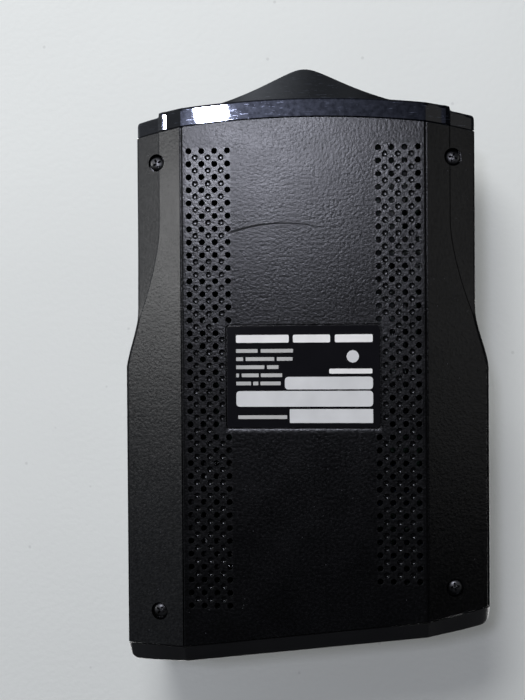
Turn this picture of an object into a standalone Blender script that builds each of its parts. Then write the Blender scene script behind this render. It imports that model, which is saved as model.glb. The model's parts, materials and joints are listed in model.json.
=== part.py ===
"""Windscreen radar detector, modelled as an assembly of separate parts.

Frame: metres, +Z up, the underside rests on Z = 0.  +Y is the nose that looks through the
windscreen, -Y is the display end that looks at the driver, and the origin is the centre of the
footprint.  Lengths below are in millimetres and are turned into metres by MM.
"""
from math import cos, pi, radians, sin, tan

import bmesh
import bpy
from mathutils import Matrix, Vector

MM = 0.001
GAP = 0.3                   # clearance kept between touching pieces
WALL = 1.8                  # wall of the two case halves

# Plan of the case
PANEL_HALF = 23.4           # half width of the flat centre panel
NOSE_HALF = 32.8            # half width at the narrow nose end
DISPLAY_HALF = 35.3         # half width at the wide display end
EAR_X = 27.9                # second crease of the wings at the nose
WAIST_START = 27.2          # Y where the second crease starts to curve outwards
FLARE_START = 9.2           # Y where the sides start to widen
FLARE_END = -0.3            # Y where the sides reach full width
NOSE_EDGE = 47.2            # Y of the panel's nose edge on the centre line
NOSE_ARC = 1.4              # how far that edge falls back at the creases
DISPLAY_EDGE = -51.5        # Y of the panel's display edge on the centre line
DISPLAY_ANGLE = radians(6.475)   # the display end is turned towards the driver
WING_SWEEP = 0.08           # fall-back of the wing's display edge per millimetre
BAND_DEPTH = 3.7            # the gloss band stands this far out from the panel's nose edge
EAR_BAND_DEPTH = 3.0        # and this far at the ears
TIP_Y = 57.8                # point of the nose beak
BEAK_REACH = 25.0           # how far the beak spreads to each side of its tip
BEAK_ROUNDING = 3.0
BEAK_POWER = 2.2

# Section of the case
WING_SLOPE = tan(radians(22.0))
EAR_SLOPE = tan(radians(29.0))
PARTING_LOW = 15.5          # rim of the lower case
PARTING_HIGH = 15.8         # rim of the upper case
TOP_DISPLAY = 31.0          # height at the display end
TOP_NOSE = 25.5             # height at the nose
RIM_IN = 0.4                # the rims stand this far in from the widest line
RIM_DEPTH = 1.5             # upright stretch of wall at each rim
SHOULDER_IN = 1.2           # the top cover's shoulder stands this far in from the widest line
SHOULDER_DROP = 6.0         # and this far below the ridge

PANEL_COLUMNS = (16.0, 8.0, 0.0, -8.0, -16.0)   # X of the points across the flat panel

# Y of the sections that the case halves are lofted through, closer together at the waist
STATIONS = (-52.0, -25.0, -0.3, 2.0, 4.4, 6.8, 9.2, 12.5, 16.0, 20.0, 24.0, 27.2, 37.0, 47.0)

# Display end
BEZEL_DEPTH = 3.7
BEZEL_CORNER_DEPTH = 2.2
BEZEL_CHAMFER = 3.0         # the bezel's underside rises by this much towards its face

# Perforated strips
PITCH = 2.5
HOLE_RADIUS = 0.56
FIRST_ROW_Y = 41.2
INNER_COLUMN_X = 14.4
ROWS_POSITIVE = 36          # rows of four holes in the strip at +X
ROWS_NEGATIVE = 34          # rows of four holes in the strip at -X
LABEL_ROWS = range(14, 22)  # rows beside the label have no inner hole

# Rating label
LABEL_SIZE = (29.8, 20.1)
LABEL_CENTRE = (0.1, -2.2)
LABEL_DEPTH = 0.5

# Case screws: X, Y and their bosses
SCREW_PLACES = {
    "case_screw_nose_right": (28.6, 39.4),
    "case_screw_nose_left": (-28.6, 39.4),
    "case_screw_display_right": (28.6, -47.9),
    "case_screw_display_left": (-28.6, -42.7),
}
SCREW_SHAFT = 0.85
SCREW_HEAD = 1.4
SCREW_SEAT = 4.6
COUNTERBORE = 1.7
BOSS_RADIUS = 2.75

# Boards
PCB_LOW = 16.0
PCB_HIGH = 17.2
PCB_HALF = 25.3
PCB_NOSE = 42.0
PCB_SCREWS = ((22.0, 8.0), (-22.0, 8.0))
PCB_BOSS_RADIUS = 2.3
PCB_DISPLAY_CLEARANCE = 6.5     # from the display edge of the case to the board

# Radar horn and its microwave can, laser receiver
HORN_X = -10.5
HORN_MOUTH_Y = 45.5
HORN_THROAT_Y = 16.0
HORN_WALL = 1.0
LASER_X = 14.0
LASER_Y = 44.0
LASER_Z = 8.6

# Buttons
BUTTON_NAMES = ("power", "volume_up", "volume_down", "mode")
BUTTON_X = (19.5, 6.5, -6.5, -19.5)
BUTTON_Y = -36.0
BUTTON_SIZE = (10.0, 5.0)

# Display window and motion sensor, in the frame of the turned display end
SENSOR_X = -19.5
WINDOW_Z = 16.0
WINDOW_CENTRE = (3.5, WINDOW_Z)
WINDOW_OPENING = (36.0, 15.0)
SENSOR_OPENING_RADIUS = 2.5

# Side sockets
JACK_Y = 22.0
JACK_Z = 10.8
JACK_BORE = 2.8
JACK_OPENING_RADIUS = 3.3
USB_Z = 11.8
USB_OPENING = (8.8, 5.0)
SOCKET_INNER_X = 19.0       # both sockets reach from here
SOCKET_OUTER_X = 29.9       # to here

# Bracket socket in the top, near the nose
SOCKET_CENTRE = (0.0, 30.0)
SOCKET_SIZE = (24.0, 16.0)
SOCKET_FLOOR = 21.0

# Speaker
SPEAKER_CENTRE = (9.0, -28.0)
SPEAKER_RADIUS = 14.0
GASKET_HEIGHT = 0.8
GASKET_WIDTH = 1.6
WIRE_RADIUS = 0.4

COLOURS = {
    "case": ((0.020, 0.020, 0.023), 0.45, 0.0),
    "top": ((0.016, 0.016, 0.018), 0.50, 0.0),
    "gloss": ((0.006, 0.007, 0.011), 0.06, 0.0),
    "charcoal": ((0.030, 0.030, 0.031), 0.60, 0.0),
    "smoke": ((0.010, 0.010, 0.012), 0.05, 0.0),
    "label": ((0.030, 0.030, 0.034), 0.40, 0.0),
    "steel": ((0.35, 0.35, 0.36), 0.35, 1.0),
    "button": ((0.045, 0.045, 0.048), 0.55, 0.0),
    "board": ((0.010, 0.080, 0.035), 0.50, 0.0),
    "zinc": ((0.55, 0.56, 0.58), 0.40, 1.0),
    "tin": ((0.62, 0.63, 0.62), 0.30, 1.0),
    "ceramic": ((0.62, 0.55, 0.42), 0.55, 0.0),
    "silver": ((0.80, 0.80, 0.78), 0.25, 1.0),
    "lens": ((0.16, 0.02, 0.03), 0.05, 0.0),
    "black_plastic": ((0.012, 0.012, 0.012), 0.55, 0.0),
    "foam": ((0.020, 0.020, 0.020), 0.95, 0.0),
    "paper": ((0.060, 0.058, 0.055), 0.85, 0.0),
    "ferrite": ((0.080, 0.080, 0.085), 0.70, 0.0),
    "sleeve_blue": ((0.020, 0.060, 0.250), 0.35, 0.0),
    "ribbon": ((0.450, 0.250, 0.050), 0.45, 0.0),
    "wire_red": ((0.500, 0.020, 0.020), 0.50, 0.0),
    "wire_black": ((0.010, 0.010, 0.010), 0.50, 0.0),
    "ivory": ((0.550, 0.520, 0.450), 0.60, 0.0),
}


# ---------------------------------------------------------------- scene and small helpers

def clear_scene():
    """Empty the file of objects."""
    for obj in list(bpy.data.objects):
        bpy.data.objects.remove(obj, do_unlink=True)


def add_collection(name):
    """Make a collection and link it to the scene."""
    collection = bpy.data.collections.new(name)
    bpy.context.scene.collection.children.link(collection)
    return collection


def make_material(name, palette):
    """Principled material with the colour, roughness and metallic value of one palette entry."""
    colour, roughness, metallic = COLOURS[palette]
    material = bpy.data.materials.new(name)
    material.use_nodes = True
    shader = material.node_tree.nodes["Principled BSDF"]
    shader.inputs["Base Color"].default_value = (*colour, 1.0)
    shader.inputs["Roughness"].default_value = roughness
    shader.inputs["Metallic"].default_value = metallic
    material.diffuse_color = (*colour, 1.0)
    return material


def place(name, data, palette):
    """Link a new object: a part when it has a palette entry, a hidden cutter when it has none."""
    obj = bpy.data.objects.new(name, data)
    if palette is None:
        CUTTERS.objects.link(obj)
        obj.hide_render = True
        obj.display_type = 'WIRE'
    else:
        PARTS.objects.link(obj)
        data.materials.append(make_material(name, palette))
    return obj


def from_bmesh(name, bm, palette):
    """Turn a bmesh into an object."""
    mesh = bpy.data.meshes.new(name)
    bm.to_mesh(mesh)
    bm.free()
    return place(name, mesh, palette)


def smooth_round(obj):
    """Shade round pieces smooth and keep their sharp edges."""
    obj.data.shade_smooth()
    obj.data.set_sharp_from_angle(angle=radians(35.0))
    return obj


def add_box(name, low, high, palette=None, bevel=0.0):
    """Box between two corners, with optional rounded edges."""
    bm = bmesh.new()
    bmesh.ops.create_cube(bm, size=1.0)
    size = Vector(high) - Vector(low)
    bmesh.ops.scale(bm, vec=size * MM, verts=bm.verts)
    obj = from_bmesh(name, bm, palette)
    obj.location = (Vector(low) + Vector(high)) * 0.5 * MM
    if bevel:
        add_bevel(obj, bevel)
    return obj


def add_bevel(obj, width):
    """Take off the sharp edges of an object."""
    bevel = obj.modifiers.new("rounded_edges", 'BEVEL')
    bevel.width = width * MM
    bevel.segments = 1
    bevel.limit_method = 'ANGLE'
    bevel.angle_limit = radians(50.0)


def add_cylinder(name, radius, start, end, palette=None, sides=20):
    """Cylinder between two points."""
    start = Vector(start)
    along = Vector(end) - start
    bm = bmesh.new()
    bmesh.ops.create_cone(bm, cap_ends=True, segments=sides, radius1=radius * MM,
                          radius2=radius * MM, depth=along.length * MM)
    obj = from_bmesh(name, bm, palette)
    obj.location = (start + along * 0.5) * MM
    obj.rotation_mode = 'QUATERNION'
    obj.rotation_quaternion = Vector((0.0, 0.0, 1.0)).rotation_difference(along)
    return smooth_round(obj)


def add_boss(name, radius, place_xy, foot, head, sides=20):
    """Upright boss; foot and head are heights, or functions of X and Y that its ends follow."""
    x, y = place_xy
    middle = (PARTING_LOW + PARTING_HIGH) / 2
    boss = add_cylinder(name, radius, (x, y, middle - 1.0), (x, y, middle + 1.0), sides=sides)
    for vert in boss.data.vertices:
        end = foot if vert.co.z < 0.0 else head
        if callable(end):
            end = end(x + vert.co.x / MM, y + vert.co.y / MM)
        vert.co.z = (end - middle) * MM
    return boss


def add_turned(name, profile, centre, palette=None, sides=20, tilt=None):
    """Turned piece: (radius, height) points down its outer side, spun about local Z."""
    bm = bmesh.new()
    rim = [bm.verts.new((radius * MM, 0.0, height * MM)) for radius, height in profile]
    for first, second in zip(rim, rim[1:]):
        bm.edges.new((first, second))
    if profile[0][0] > 0.0:
        bm.edges.new((rim[-1], rim[0]))
    obj = from_bmesh(name, bm, palette)
    obj.location = Vector(centre) * MM
    if tilt is not None:
        obj.rotation_euler = tilt
    screw = obj.modifiers.new("spin", 'SCREW')
    screw.steps = sides
    screw.render_steps = sides
    screw.use_merge_vertices = True
    screw.merge_threshold = 0.00001
    return obj


def add_plate(name, outlines, low, high, palette=None):
    """Flat plate from closed outlines in plan; outlines inside the first one are holes."""
    curve = bpy.data.curves.new(name, 'CURVE')
    curve.dimensions = '2D'
    curve.fill_mode = 'BOTH'
    curve.extrude = (high - low) * 0.5 * MM
    for outline in outlines:
        spline = curve.splines.new('POLY')
        spline.points.add(len(outline) - 1)
        spline.use_cyclic_u = True
        for point, (x, y) in zip(spline.points, outline):
            point.co = (x * MM, y * MM, 0.0, 1.0)
    obj = place(name, curve, palette)
    obj.location.z = (low + high) * 0.5 * MM
    return obj


def solid_plate(name, outlines, low, high, palette=None):
    """The same plate as a mesh, which Boolean modifiers can use."""
    return as_mesh(add_plate(name, outlines, low, high, palette))


def as_mesh(curve_object):
    """Replace a curve object by its welded mesh."""
    name = curve_object.name
    graph = bpy.context.evaluated_depsgraph_get()
    mesh = bpy.data.meshes.new_from_object(curve_object.evaluated_get(graph))
    bm = bmesh.new()
    bm.from_mesh(mesh)
    bmesh.ops.remove_doubles(bm, verts=bm.verts, dist=0.00001)
    bm.to_mesh(mesh)
    bm.free()
    obj = bpy.data.objects.new(name, mesh)
    curve_object.users_collection[0].objects.link(obj)
    obj.matrix_world = curve_object.matrix_world
    obj.hide_render = curve_object.hide_render
    obj.display_type = curve_object.display_type
    bpy.data.objects.remove(curve_object, do_unlink=True)
    obj.name = name
    return obj


def rectangle(width, depth, centre=(0.0, 0.0), radius=0.0, steps=3):
    """Outline of a rectangle with rounded corners, anticlockwise."""
    x, y = centre
    if radius == 0.0:
        corners = ((1, -1), (1, 1), (-1, 1), (-1, -1))
        return [(x + sx * width / 2, y + sy * depth / 2) for sx, sy in corners]
    outline = []
    for quarter, (sx, sy) in enumerate(((1, 1), (-1, 1), (-1, -1), (1, -1))):
        middle_x = x + sx * (width / 2 - radius)
        middle_y = y + sy * (depth / 2 - radius)
        for step in range(steps + 1):
            angle = (quarter + step / steps) * pi / 2
            outline.append((middle_x + radius * cos(angle), middle_y + radius * sin(angle)))
    return outline


def circle(radius, centre, sides=16):
    """Outline of a circle."""
    turns = [2 * pi * step / sides for step in range(sides)]
    return [(centre[0] + radius * cos(turn), centre[1] + radius * sin(turn)) for turn in turns]


def boolean(target, tool, operation):
    """Cut a tool out of a part, or join it on."""
    modifier = target.modifiers.new(tool.name, 'BOOLEAN')
    modifier.operation = operation
    modifier.object = tool
    modifier.solver = 'EXACT'


def cut(target, tool):
    boolean(target, tool, 'DIFFERENCE')


def join(target, tool):
    boolean(target, tool, 'UNION')


def mix(first, second, share):
    return first + (second - first) * share


def ease(share):
    """Smooth step from 0 to 1."""
    share = max(0.0, min(1.0, share))
    return share * share * (3.0 - 2.0 * share)


# ---------------------------------------------------------------- form of the case

def half_width(y):
    """Half width of the case at Y."""
    flare = ease((FLARE_START - y) / (FLARE_START - FLARE_END))
    return mix(NOSE_HALF, DISPLAY_HALF, flare)


def waist_x(y):
    """X of the second wing crease, which runs out to the side at the waist."""
    share = min(1.0, max(0.0, (WAIST_START - y) / (WAIST_START - FLARE_START)))
    return mix(EAR_X, half_width(y) - 0.5, share ** 1.6)


def bottom_z(x, y):
    """Height of the underside at a place."""
    x = abs(x)
    crease = waist_x(y)
    wing = max(0.0, min(x, crease) - PANEL_HALF) * WING_SLOPE
    return wing + max(0.0, x - crease) * EAR_SLOPE


def crown_z(y):
    """Height of the ridge of the top cover."""
    return mix(TOP_DISPLAY, TOP_NOSE, ease((y + 10.0) / 57.0))


def top_section(y):
    """Half of the top section, from the ridge out to the side wall."""
    side = half_width(y)
    ridge = crown_z(y)
    return [(0.0, ridge), (side - 9.0, ridge - 1.5), (side - SHOULDER_IN, ridge - SHOULDER_DROP)]


def top_z(x, y):
    """Height of the top cover at a place."""
    points = top_section(y)
    x = abs(x)
    for (x0, z0), (x1, z1) in zip(points, points[1:]):
        if x <= x1:
            return mix(z0, z1, (x - x0) / (x1 - x0))
    return points[-1][1]


def nose_edge(x):
    """Y where the case halves end at the nose."""
    return NOSE_EDGE - NOSE_ARC * (x / PANEL_HALF) ** 2


def display_edge(x):
    """Y where the case halves end at the display."""
    sweep = max(0.0, abs(x) - PANEL_HALF) * WING_SWEEP
    return DISPLAY_EDGE - tan(DISPLAY_ANGLE) * x + sweep


def station_y(x, share):
    """Y on the case at X, with share 0 at the display end and 1 at the nose end."""
    return mix(display_edge(x), nose_edge(x), share)


def lower_section(y):
    """Half of the lower section, from the rim down to the crease of the centre panel."""
    side = half_width(y)
    crease = waist_x(y)
    return [(side - RIM_IN, PARTING_LOW), (side - RIM_IN, PARTING_LOW - RIM_DEPTH),
            (side, bottom_z(side, y)), (crease, bottom_z(crease, y)), (PANEL_HALF, 0.0)]


def upper_section(y):
    """Half of the upper section, from the rim up to the ridge."""
    rim = half_width(y) - RIM_IN
    return [(rim, PARTING_HIGH), (rim, PARTING_HIGH + RIM_DEPTH)] + top_section(y)[:0:-1]


def case_shell(name, section, ridge, palette):
    """One case half: sections lofted from the display end to the nose, then given a wall."""
    first, last = STATIONS[0], STATIONS[-1]
    bm = bmesh.new()
    rows = []
    for station in STATIONS:
        share = (station - first) / (last - first)
        half = section(station_y(0.0, share))
        sides = []
        for side in (1.0, -1.0):
            row = []
            for index in range(len(half)):
                x = half[index][0] * side
                for _ in range(3):
                    y = station_y(x, share)
                    x = section(y)[index][0] * side
                row.append((x, y, section(y)[index][1]))
            sides.append(row)
        middle = [(x, station_y(x, share), 0.0) for x in PANEL_COLUMNS]
        if ridge:
            y = station_y(0.0, share)
            middle = [(0.0, y, crown_z(y))]
        points = sides[0] + middle + sides[1][::-1]
        rows.append([bm.verts.new(Vector(point) * MM) for point in points])
    for low, high in zip(rows, rows[1:]):
        for index in range(len(low) - 1):
            bm.faces.new((low[index], low[index + 1], high[index + 1], high[index]))
    bmesh.ops.dissolve_limit(bm, angle_limit=radians(0.2), verts=bm.verts, edges=bm.edges)
    bmesh.ops.recalc_face_normals(bm, faces=bm.faces)
    centre = sum((face.calc_center_median() for face in bm.faces), Vector()) / len(bm.faces)
    largest = max(bm.faces, key=lambda face: face.calc_area())
    if largest.normal.dot(largest.calc_center_median() - centre) < 0.0:
        bmesh.ops.reverse_faces(bm, faces=bm.faces)
    obj = from_bmesh(name, bm, palette)
    wall = obj.modifiers.new("wall", 'SOLIDIFY')
    wall.thickness = WALL * MM
    wall.offset = -1.0
    wall.use_even_offset = True
    return obj


def loft_profiles(name, profiles, palette):
    """Closed profiles of equal length joined in order, with flat ends."""
    bm = bmesh.new()
    rings = [[bm.verts.new(Vector(point) * MM) for point in profile] for profile in profiles]
    count = len(rings[0])
    for first, second in zip(rings, rings[1:]):
        for index in range(count):
            following = (index + 1) % count
            bm.faces.new((first[index], first[following], second[following], second[index]))
    bm.faces.new(rings[0][::-1])
    bm.faces.new(rings[-1])
    bmesh.ops.dissolve_limit(bm, angle_limit=radians(0.2), verts=bm.verts, edges=bm.edges)
    bmesh.ops.recalc_face_normals(bm, faces=bm.faces)
    return from_bmesh(name, bm, palette)


def side_x(z, y):
    """X of the side wall at a height."""
    side = half_width(y)
    low = bottom_z(side, y)
    rim_low = PARTING_LOW - RIM_DEPTH
    rim_high = PARTING_HIGH + RIM_DEPTH
    shoulder = crown_z(y) - SHOULDER_DROP
    if z < rim_low:
        return mix(side, side - RIM_IN, (z - low) / (rim_low - low))
    if z < rim_high:
        return side - RIM_IN
    return side - mix(RIM_IN, SHOULDER_IN, (z - rim_high) / (shoulder - rim_high))


def band_edge(x):
    """Y of the outer edge of the gloss band round the nose; the ears are set back."""
    reach = BAND_DEPTH if abs(x) <= EAR_X else EAR_BAND_DEPTH
    return nose_edge(x) + reach - max(0.0, abs(x) - 31.0) * 0.5


def beak_edge(x):
    """Y of the point of the nose, a rounded peak on the centre line."""
    reach = (Vector((x, BEAK_ROUNDING)).length - BEAK_ROUNDING) / BEAK_REACH
    peak = (TIP_Y - band_edge(0.0)) * max(0.0, 1.0 - reach) ** BEAK_POWER
    return band_edge(x) + peak


# ---------------------------------------------------------------- outer shells

def build_nose_window():
    """Gloss infrared window: a flat band round the nose and the beak in front of it."""
    columns = [0.0, 2.0, 4.5, 8.0, 12.0, 16.0, 19.0, PANEL_HALF, EAR_X, EAR_X + 0.25, 30.0]
    columns = [-NOSE_HALF] + [-x for x in columns[:0:-1]] + columns + [NOSE_HALF]
    profiles = []
    for x in columns:
        at_side = abs(x) == NOSE_HALF
        solid = abs(x) >= 30.0
        edge = nose_edge(x)
        base = edge + GAP
        low = bottom_z(x, edge)
        high = top_z(x, edge)
        band = band_edge(x)
        beak = max(beak_edge(x), band + 0.1)
        tall = high - low
        outer = [(base, low), (band, low + 0.9), (beak, low + 0.27 * tall),
                 (beak - 0.1, low + 0.42 * tall), (band + 0.2, low + 0.76 * tall),
                 (band - 1.6, high - 0.7), (base, high)]
        inner = [(base, high - WALL), (band - 3.1, high - WALL - 0.6),
                 (band - 1.5, low + 0.74 * tall), (beak - 2.0, low + 0.42 * tall),
                 (beak - 2.0, low + 0.30 * tall), (band - 1.7, low + 2.9), (base, low + WALL)]
        if solid:
            inner = [(base, z) for _, z in inner]
        profile = []
        for y, z in outer + inner:
            wide = side_x(z, edge) if at_side else abs(x)
            profile.append((wide if x > 0.0 else -wide, y, z))
        profiles.append(profile)
    loft_profiles("nose_window", profiles, "gloss")


def build_display_bezel():
    """Charcoal frame that closes the display end."""
    columns = [0.0, 12.0, PANEL_HALF, DISPLAY_HALF - 9.0, 30.5, DISPLAY_HALF - 1.7]
    columns = [-DISPLAY_HALF] + [-x for x in columns[:0:-1]] + columns + [DISPLAY_HALF]
    profiles = []
    for x in columns:
        at_side = abs(x) == DISPLAY_HALF
        edge = display_edge(x)
        base = edge - GAP
        face = edge - (BEZEL_CORNER_DEPTH if at_side else BEZEL_DEPTH)
        low = bottom_z(x, edge)
        high = top_z(x, edge)
        outer = [(base, low), (face, low + BEZEL_CHAMFER), (face, high - 1.4), (base, high)]
        inner = [(base, high - WALL), (face + 2.0, high - 3.2),
                 (face + 2.0, low + BEZEL_CHAMFER + 1.2), (base, low + WALL)]
        if abs(x) > 31.0:
            inner = [(base, z) for _, z in inner]
        profile = []
        for y, z in outer + inner:
            wide = side_x(z, edge) if at_side else abs(x)
            profile.append((wide if x > 0.0 else -wide, y, z))
        profiles.append(profile)
    bezel = loft_profiles("display_bezel", profiles, "charcoal")
    opening = solid_plate("window_opening", [rectangle(*WINDOW_OPENING, WINDOW_CENTRE, 1.5)],
                          -6.0, 2.0)
    stand_on_display(opening)
    cut(bezel, opening)
    eye = add_cylinder("sensor_opening", SENSOR_OPENING_RADIUS, (SENSOR_X, -6.0, WINDOW_Z),
                       (SENSOR_X, 2.0, WINDOW_Z))
    eye.parent = DISPLAY_FRAME
    cut(bezel, eye)


def stand_on_display(plate):
    """Stand a flat plate upright in the display's frame: its plan Y becomes Z."""
    plate.parent = DISPLAY_FRAME
    depth = plate.location.z
    plate.location = (0.0, depth, 0.0)
    plate.rotation_euler.x = pi / 2
    return plate


def grille_cutter():
    """All through holes of the two perforated strips as one tool."""
    bm = bmesh.new()
    for side, rows in ((1.0, ROWS_POSITIVE), (-1.0, ROWS_NEGATIVE)):
        for row in range(rows):
            for column in range(4):
                if column == 0 and row in LABEL_ROWS:
                    continue
                x = side * (INNER_COLUMN_X + column * PITCH)
                y = FIRST_ROW_Y - row * PITCH
                spot = Matrix.Translation(Vector((x, y, WALL / 2)) * MM)
                bmesh.ops.create_cone(bm, cap_ends=True, segments=6, radius1=HOLE_RADIUS * MM,
                                      radius2=HOLE_RADIUS * MM, depth=2 * WALL * MM, matrix=spot)
    return from_bmesh("grille_holes", bm, None)


def build_lower_case():
    """Lower case half with its screw bosses, label recess, grille and side sockets."""
    case = case_shell("lower_case", lower_section, False, "case")

    def foot(x, y):
        return bottom_z(x, y) + WALL / 2

    for name, (x, y) in SCREW_PLACES.items():
        join(case, add_boss(name + "_low_boss", BOSS_RADIUS, (x, y), foot, PARTING_LOW))
    for name, (x, y) in SCREW_PLACES.items():
        seat = add_cylinder(name + "_counterbore", COUNTERBORE, (x, y, -1.0), (x, y, SCREW_SEAT),
                            sides=16)
        hole = add_cylinder(name + "_low_hole", SCREW_SHAFT + GAP, (x, y, 3.0), (x, y, 18.0),
                            sides=10)
        cut(case, seat)
        cut(case, hole)
    recess = solid_plate("label_recess", [rectangle(*LABEL_SIZE, LABEL_CENTRE, 0.8)],
                         -1.0, LABEL_DEPTH)
    cut(case, recess)
    cut(case, grille_cutter())
    jack_hole = add_cylinder("jack_opening", JACK_OPENING_RADIUS, (26.0, JACK_Y, JACK_Z),
                             (36.0, JACK_Y, JACK_Z))
    cut(case, jack_hole)
    wide, tall = USB_OPENING
    usb_hole = add_box("usb_opening", (-36.0, JACK_Y - wide / 2, USB_Z - tall / 2),
                       (-26.0, JACK_Y + wide / 2, USB_Z + tall / 2))
    cut(case, usb_hole)


def build_upper_case():
    """Upper case half with bosses, button openings and the opening for the bracket socket."""
    case = case_shell("upper_case", upper_section, True, "top")

    def head(x, y):
        return top_z(x, y) - WALL / 2

    for name, (x, y) in SCREW_PLACES.items():
        join(case, add_boss(name + "_top_boss", BOSS_RADIUS, (x, y), PARTING_HIGH, head))
    for index, (x, y) in enumerate(PCB_SCREWS):
        join(case, add_boss("pcb_boss_%d" % index, PCB_BOSS_RADIUS, (x, y), PCB_HIGH + GAP, head,
                            sides=16))
    for name, (x, y) in SCREW_PLACES.items():
        hole = add_cylinder(name + "_top_hole", SCREW_SHAFT + GAP, (x, y, 14.0), (x, y, 19.0),
                            sides=10)
        cut(case, hole)
    for index, (x, y) in enumerate(PCB_SCREWS):
        hole = add_cylinder("pcb_boss_hole_%d" % index, 1.1, (x, y, 16.0), (x, y, 23.5), sides=10)
        cut(case, hole)
    width, depth = BUTTON_SIZE
    for name, x in zip(BUTTON_NAMES, BUTTON_X):
        opening = solid_plate(name + "_opening",
                              [rectangle(width + 2 * GAP, depth + 2 * GAP, (x, BUTTON_Y), 1.3)],
                              24.0, 34.0)
        cut(case, opening)
    width, depth = SOCKET_SIZE
    slot = solid_plate("socket_opening",
                       [rectangle(width + 2 * GAP, depth + 2 * GAP, SOCKET_CENTRE, 1.3)],
                       19.0, 32.0)
    cut(case, slot)


def build_bracket_socket():
    """Pocket in the top cover with two lips, which a windscreen bracket's tongue slides under."""
    width, depth = SOCKET_SIZE
    ceiling = crown_z(SOCKET_CENTRE[1])
    socket = solid_plate("bracket_socket", [rectangle(width, depth, SOCKET_CENTRE, 1.0)],
                         SOCKET_FLOOR - 1.2, ceiling, "black_plastic")
    for vert in socket.data.vertices:
        if vert.co.z > 0.0:
            surface = top_z(vert.co.x / MM, vert.co.y / MM) - 0.8
            vert.co.z = surface * MM - socket.location.z
    pocket = solid_plate("socket_pocket", [rectangle(width - 4.0, depth - 3.0, SOCKET_CENTRE, 0.6)],
                         SOCKET_FLOOR, SOCKET_FLOOR + 2.6)
    mouth = solid_plate("socket_mouth", [rectangle(width - 7.0, depth - 3.0, SOCKET_CENTRE, 0.6)],
                        SOCKET_FLOOR + 1.0, ceiling + 3.0)
    cut(socket, pocket)
    cut(socket, mouth)


def build_rating_label():
    """Plain label plate in the recess of the underside."""
    width, depth = LABEL_SIZE
    add_plate("rating_label", [rectangle(width - 2 * GAP, depth - 2 * GAP, LABEL_CENTRE, 0.6)],
              0.05, 0.20, "label")


def build_case_screws():
    """Four cross-head screws that pass through the lower case into the upper case."""
    for name, (x, y) in SCREW_PLACES.items():
        profile = [(0.0, 18.6), (SCREW_SHAFT, 18.1), (SCREW_SHAFT, SCREW_SEAT - GAP),
                   (SCREW_HEAD, SCREW_SEAT - GAP), (SCREW_HEAD, 3.5), (1.1, 3.1), (0.0, 3.1)]
        screw = add_turned(name, profile, (x, y, 0.0), "steel", sides=14)
        for turn in (0.0, pi / 2):
            bar = add_box("%s_cross_%d" % (name, round(turn)), (-0.85, -0.18, 2.6),
                          (0.85, 0.18, 3.9))
            bar.location.x += x * MM
            bar.location.y += y * MM
            bar.rotation_euler.z = turn + radians(20.0)
            cut(screw, bar)


# ---------------------------------------------------------------- display

def build_display():
    """Display stack behind the bezel, square to the turned display end."""
    window = solid_plate("display_window", [rectangle(35.4, 14.4, WINDOW_CENTRE, 1.2)],
                         -3.4, -1.2, "smoke")
    flange = solid_plate("window_flange", [rectangle(38.4, 17.4, WINDOW_CENTRE)], -1.35, -0.6)
    holder = solid_plate("display_holder",
                         [rectangle(40.0, 19.0, WINDOW_CENTRE), rectangle(36.6, 13.6, WINDOW_CENTRE)],
                         -0.3, 2.2, "black_plastic")
    glass = solid_plate("display_glass", [rectangle(36.0, 13.0, WINDOW_CENTRE)], -0.3, 1.3, "smoke")
    board = solid_plate("display_board", [rectangle(46.0, 17.0, (0.0, WINDOW_Z))], 2.5, 3.5, "board")
    for plate in (window, flange, holder, glass, board):
        stand_on_display(plate)
    join(window, flange)
    eye = add_turned("sensor_window", [(0.0, 1.1), (3.3, 1.1), (3.3, 0.4), (2.2, 0.4),
                                       (2.2, -1.6), (0.0, -1.6)],
                     (SENSOR_X, -1.75, WINDOW_Z), "gloss", sides=18, tilt=(-pi / 2, 0.0, 0.0))
    sensor = add_box("motion_sensor", (SENSOR_X - 1.7, 0.2, WINDOW_Z - 1.8),
                     (SENSOR_X + 1.7, 2.2, WINDOW_Z + 1.8), "black_plastic")
    eye.parent = DISPLAY_FRAME
    sensor.parent = DISPLAY_FRAME


def build_ribbon():
    """Flat cable from the display board back to the main board, a strip bent twice."""
    centre_line = [(3.8, 20.0), (4.6, 20.9), (6.0, 21.2), (7.6, 20.8), (8.6, 19.4),
                   (9.4, 18.1), (10.4, 17.7), (11.6, 17.6)]
    half = 0.1
    upper, lower = [], []
    for index, (y, z) in enumerate(centre_line):
        before = centre_line[max(index - 1, 0)]
        after = centre_line[min(index + 1, len(centre_line) - 1)]
        along = Vector((after[0] - before[0], after[1] - before[1])).normalized()
        upper.append((y - along.y * half, z + along.x * half))
        lower.append((y + along.y * half, z - along.x * half))
    strip = add_plate("display_ribbon", [lower + upper[::-1]], -6.0, 6.0, "ribbon")
    strip.parent = DISPLAY_FRAME
    strip.location = (0.0, 0.0, 0.0)
    strip.rotation_euler = (pi / 2, 0.0, pi / 2)


# ---------------------------------------------------------------- electronics

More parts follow.
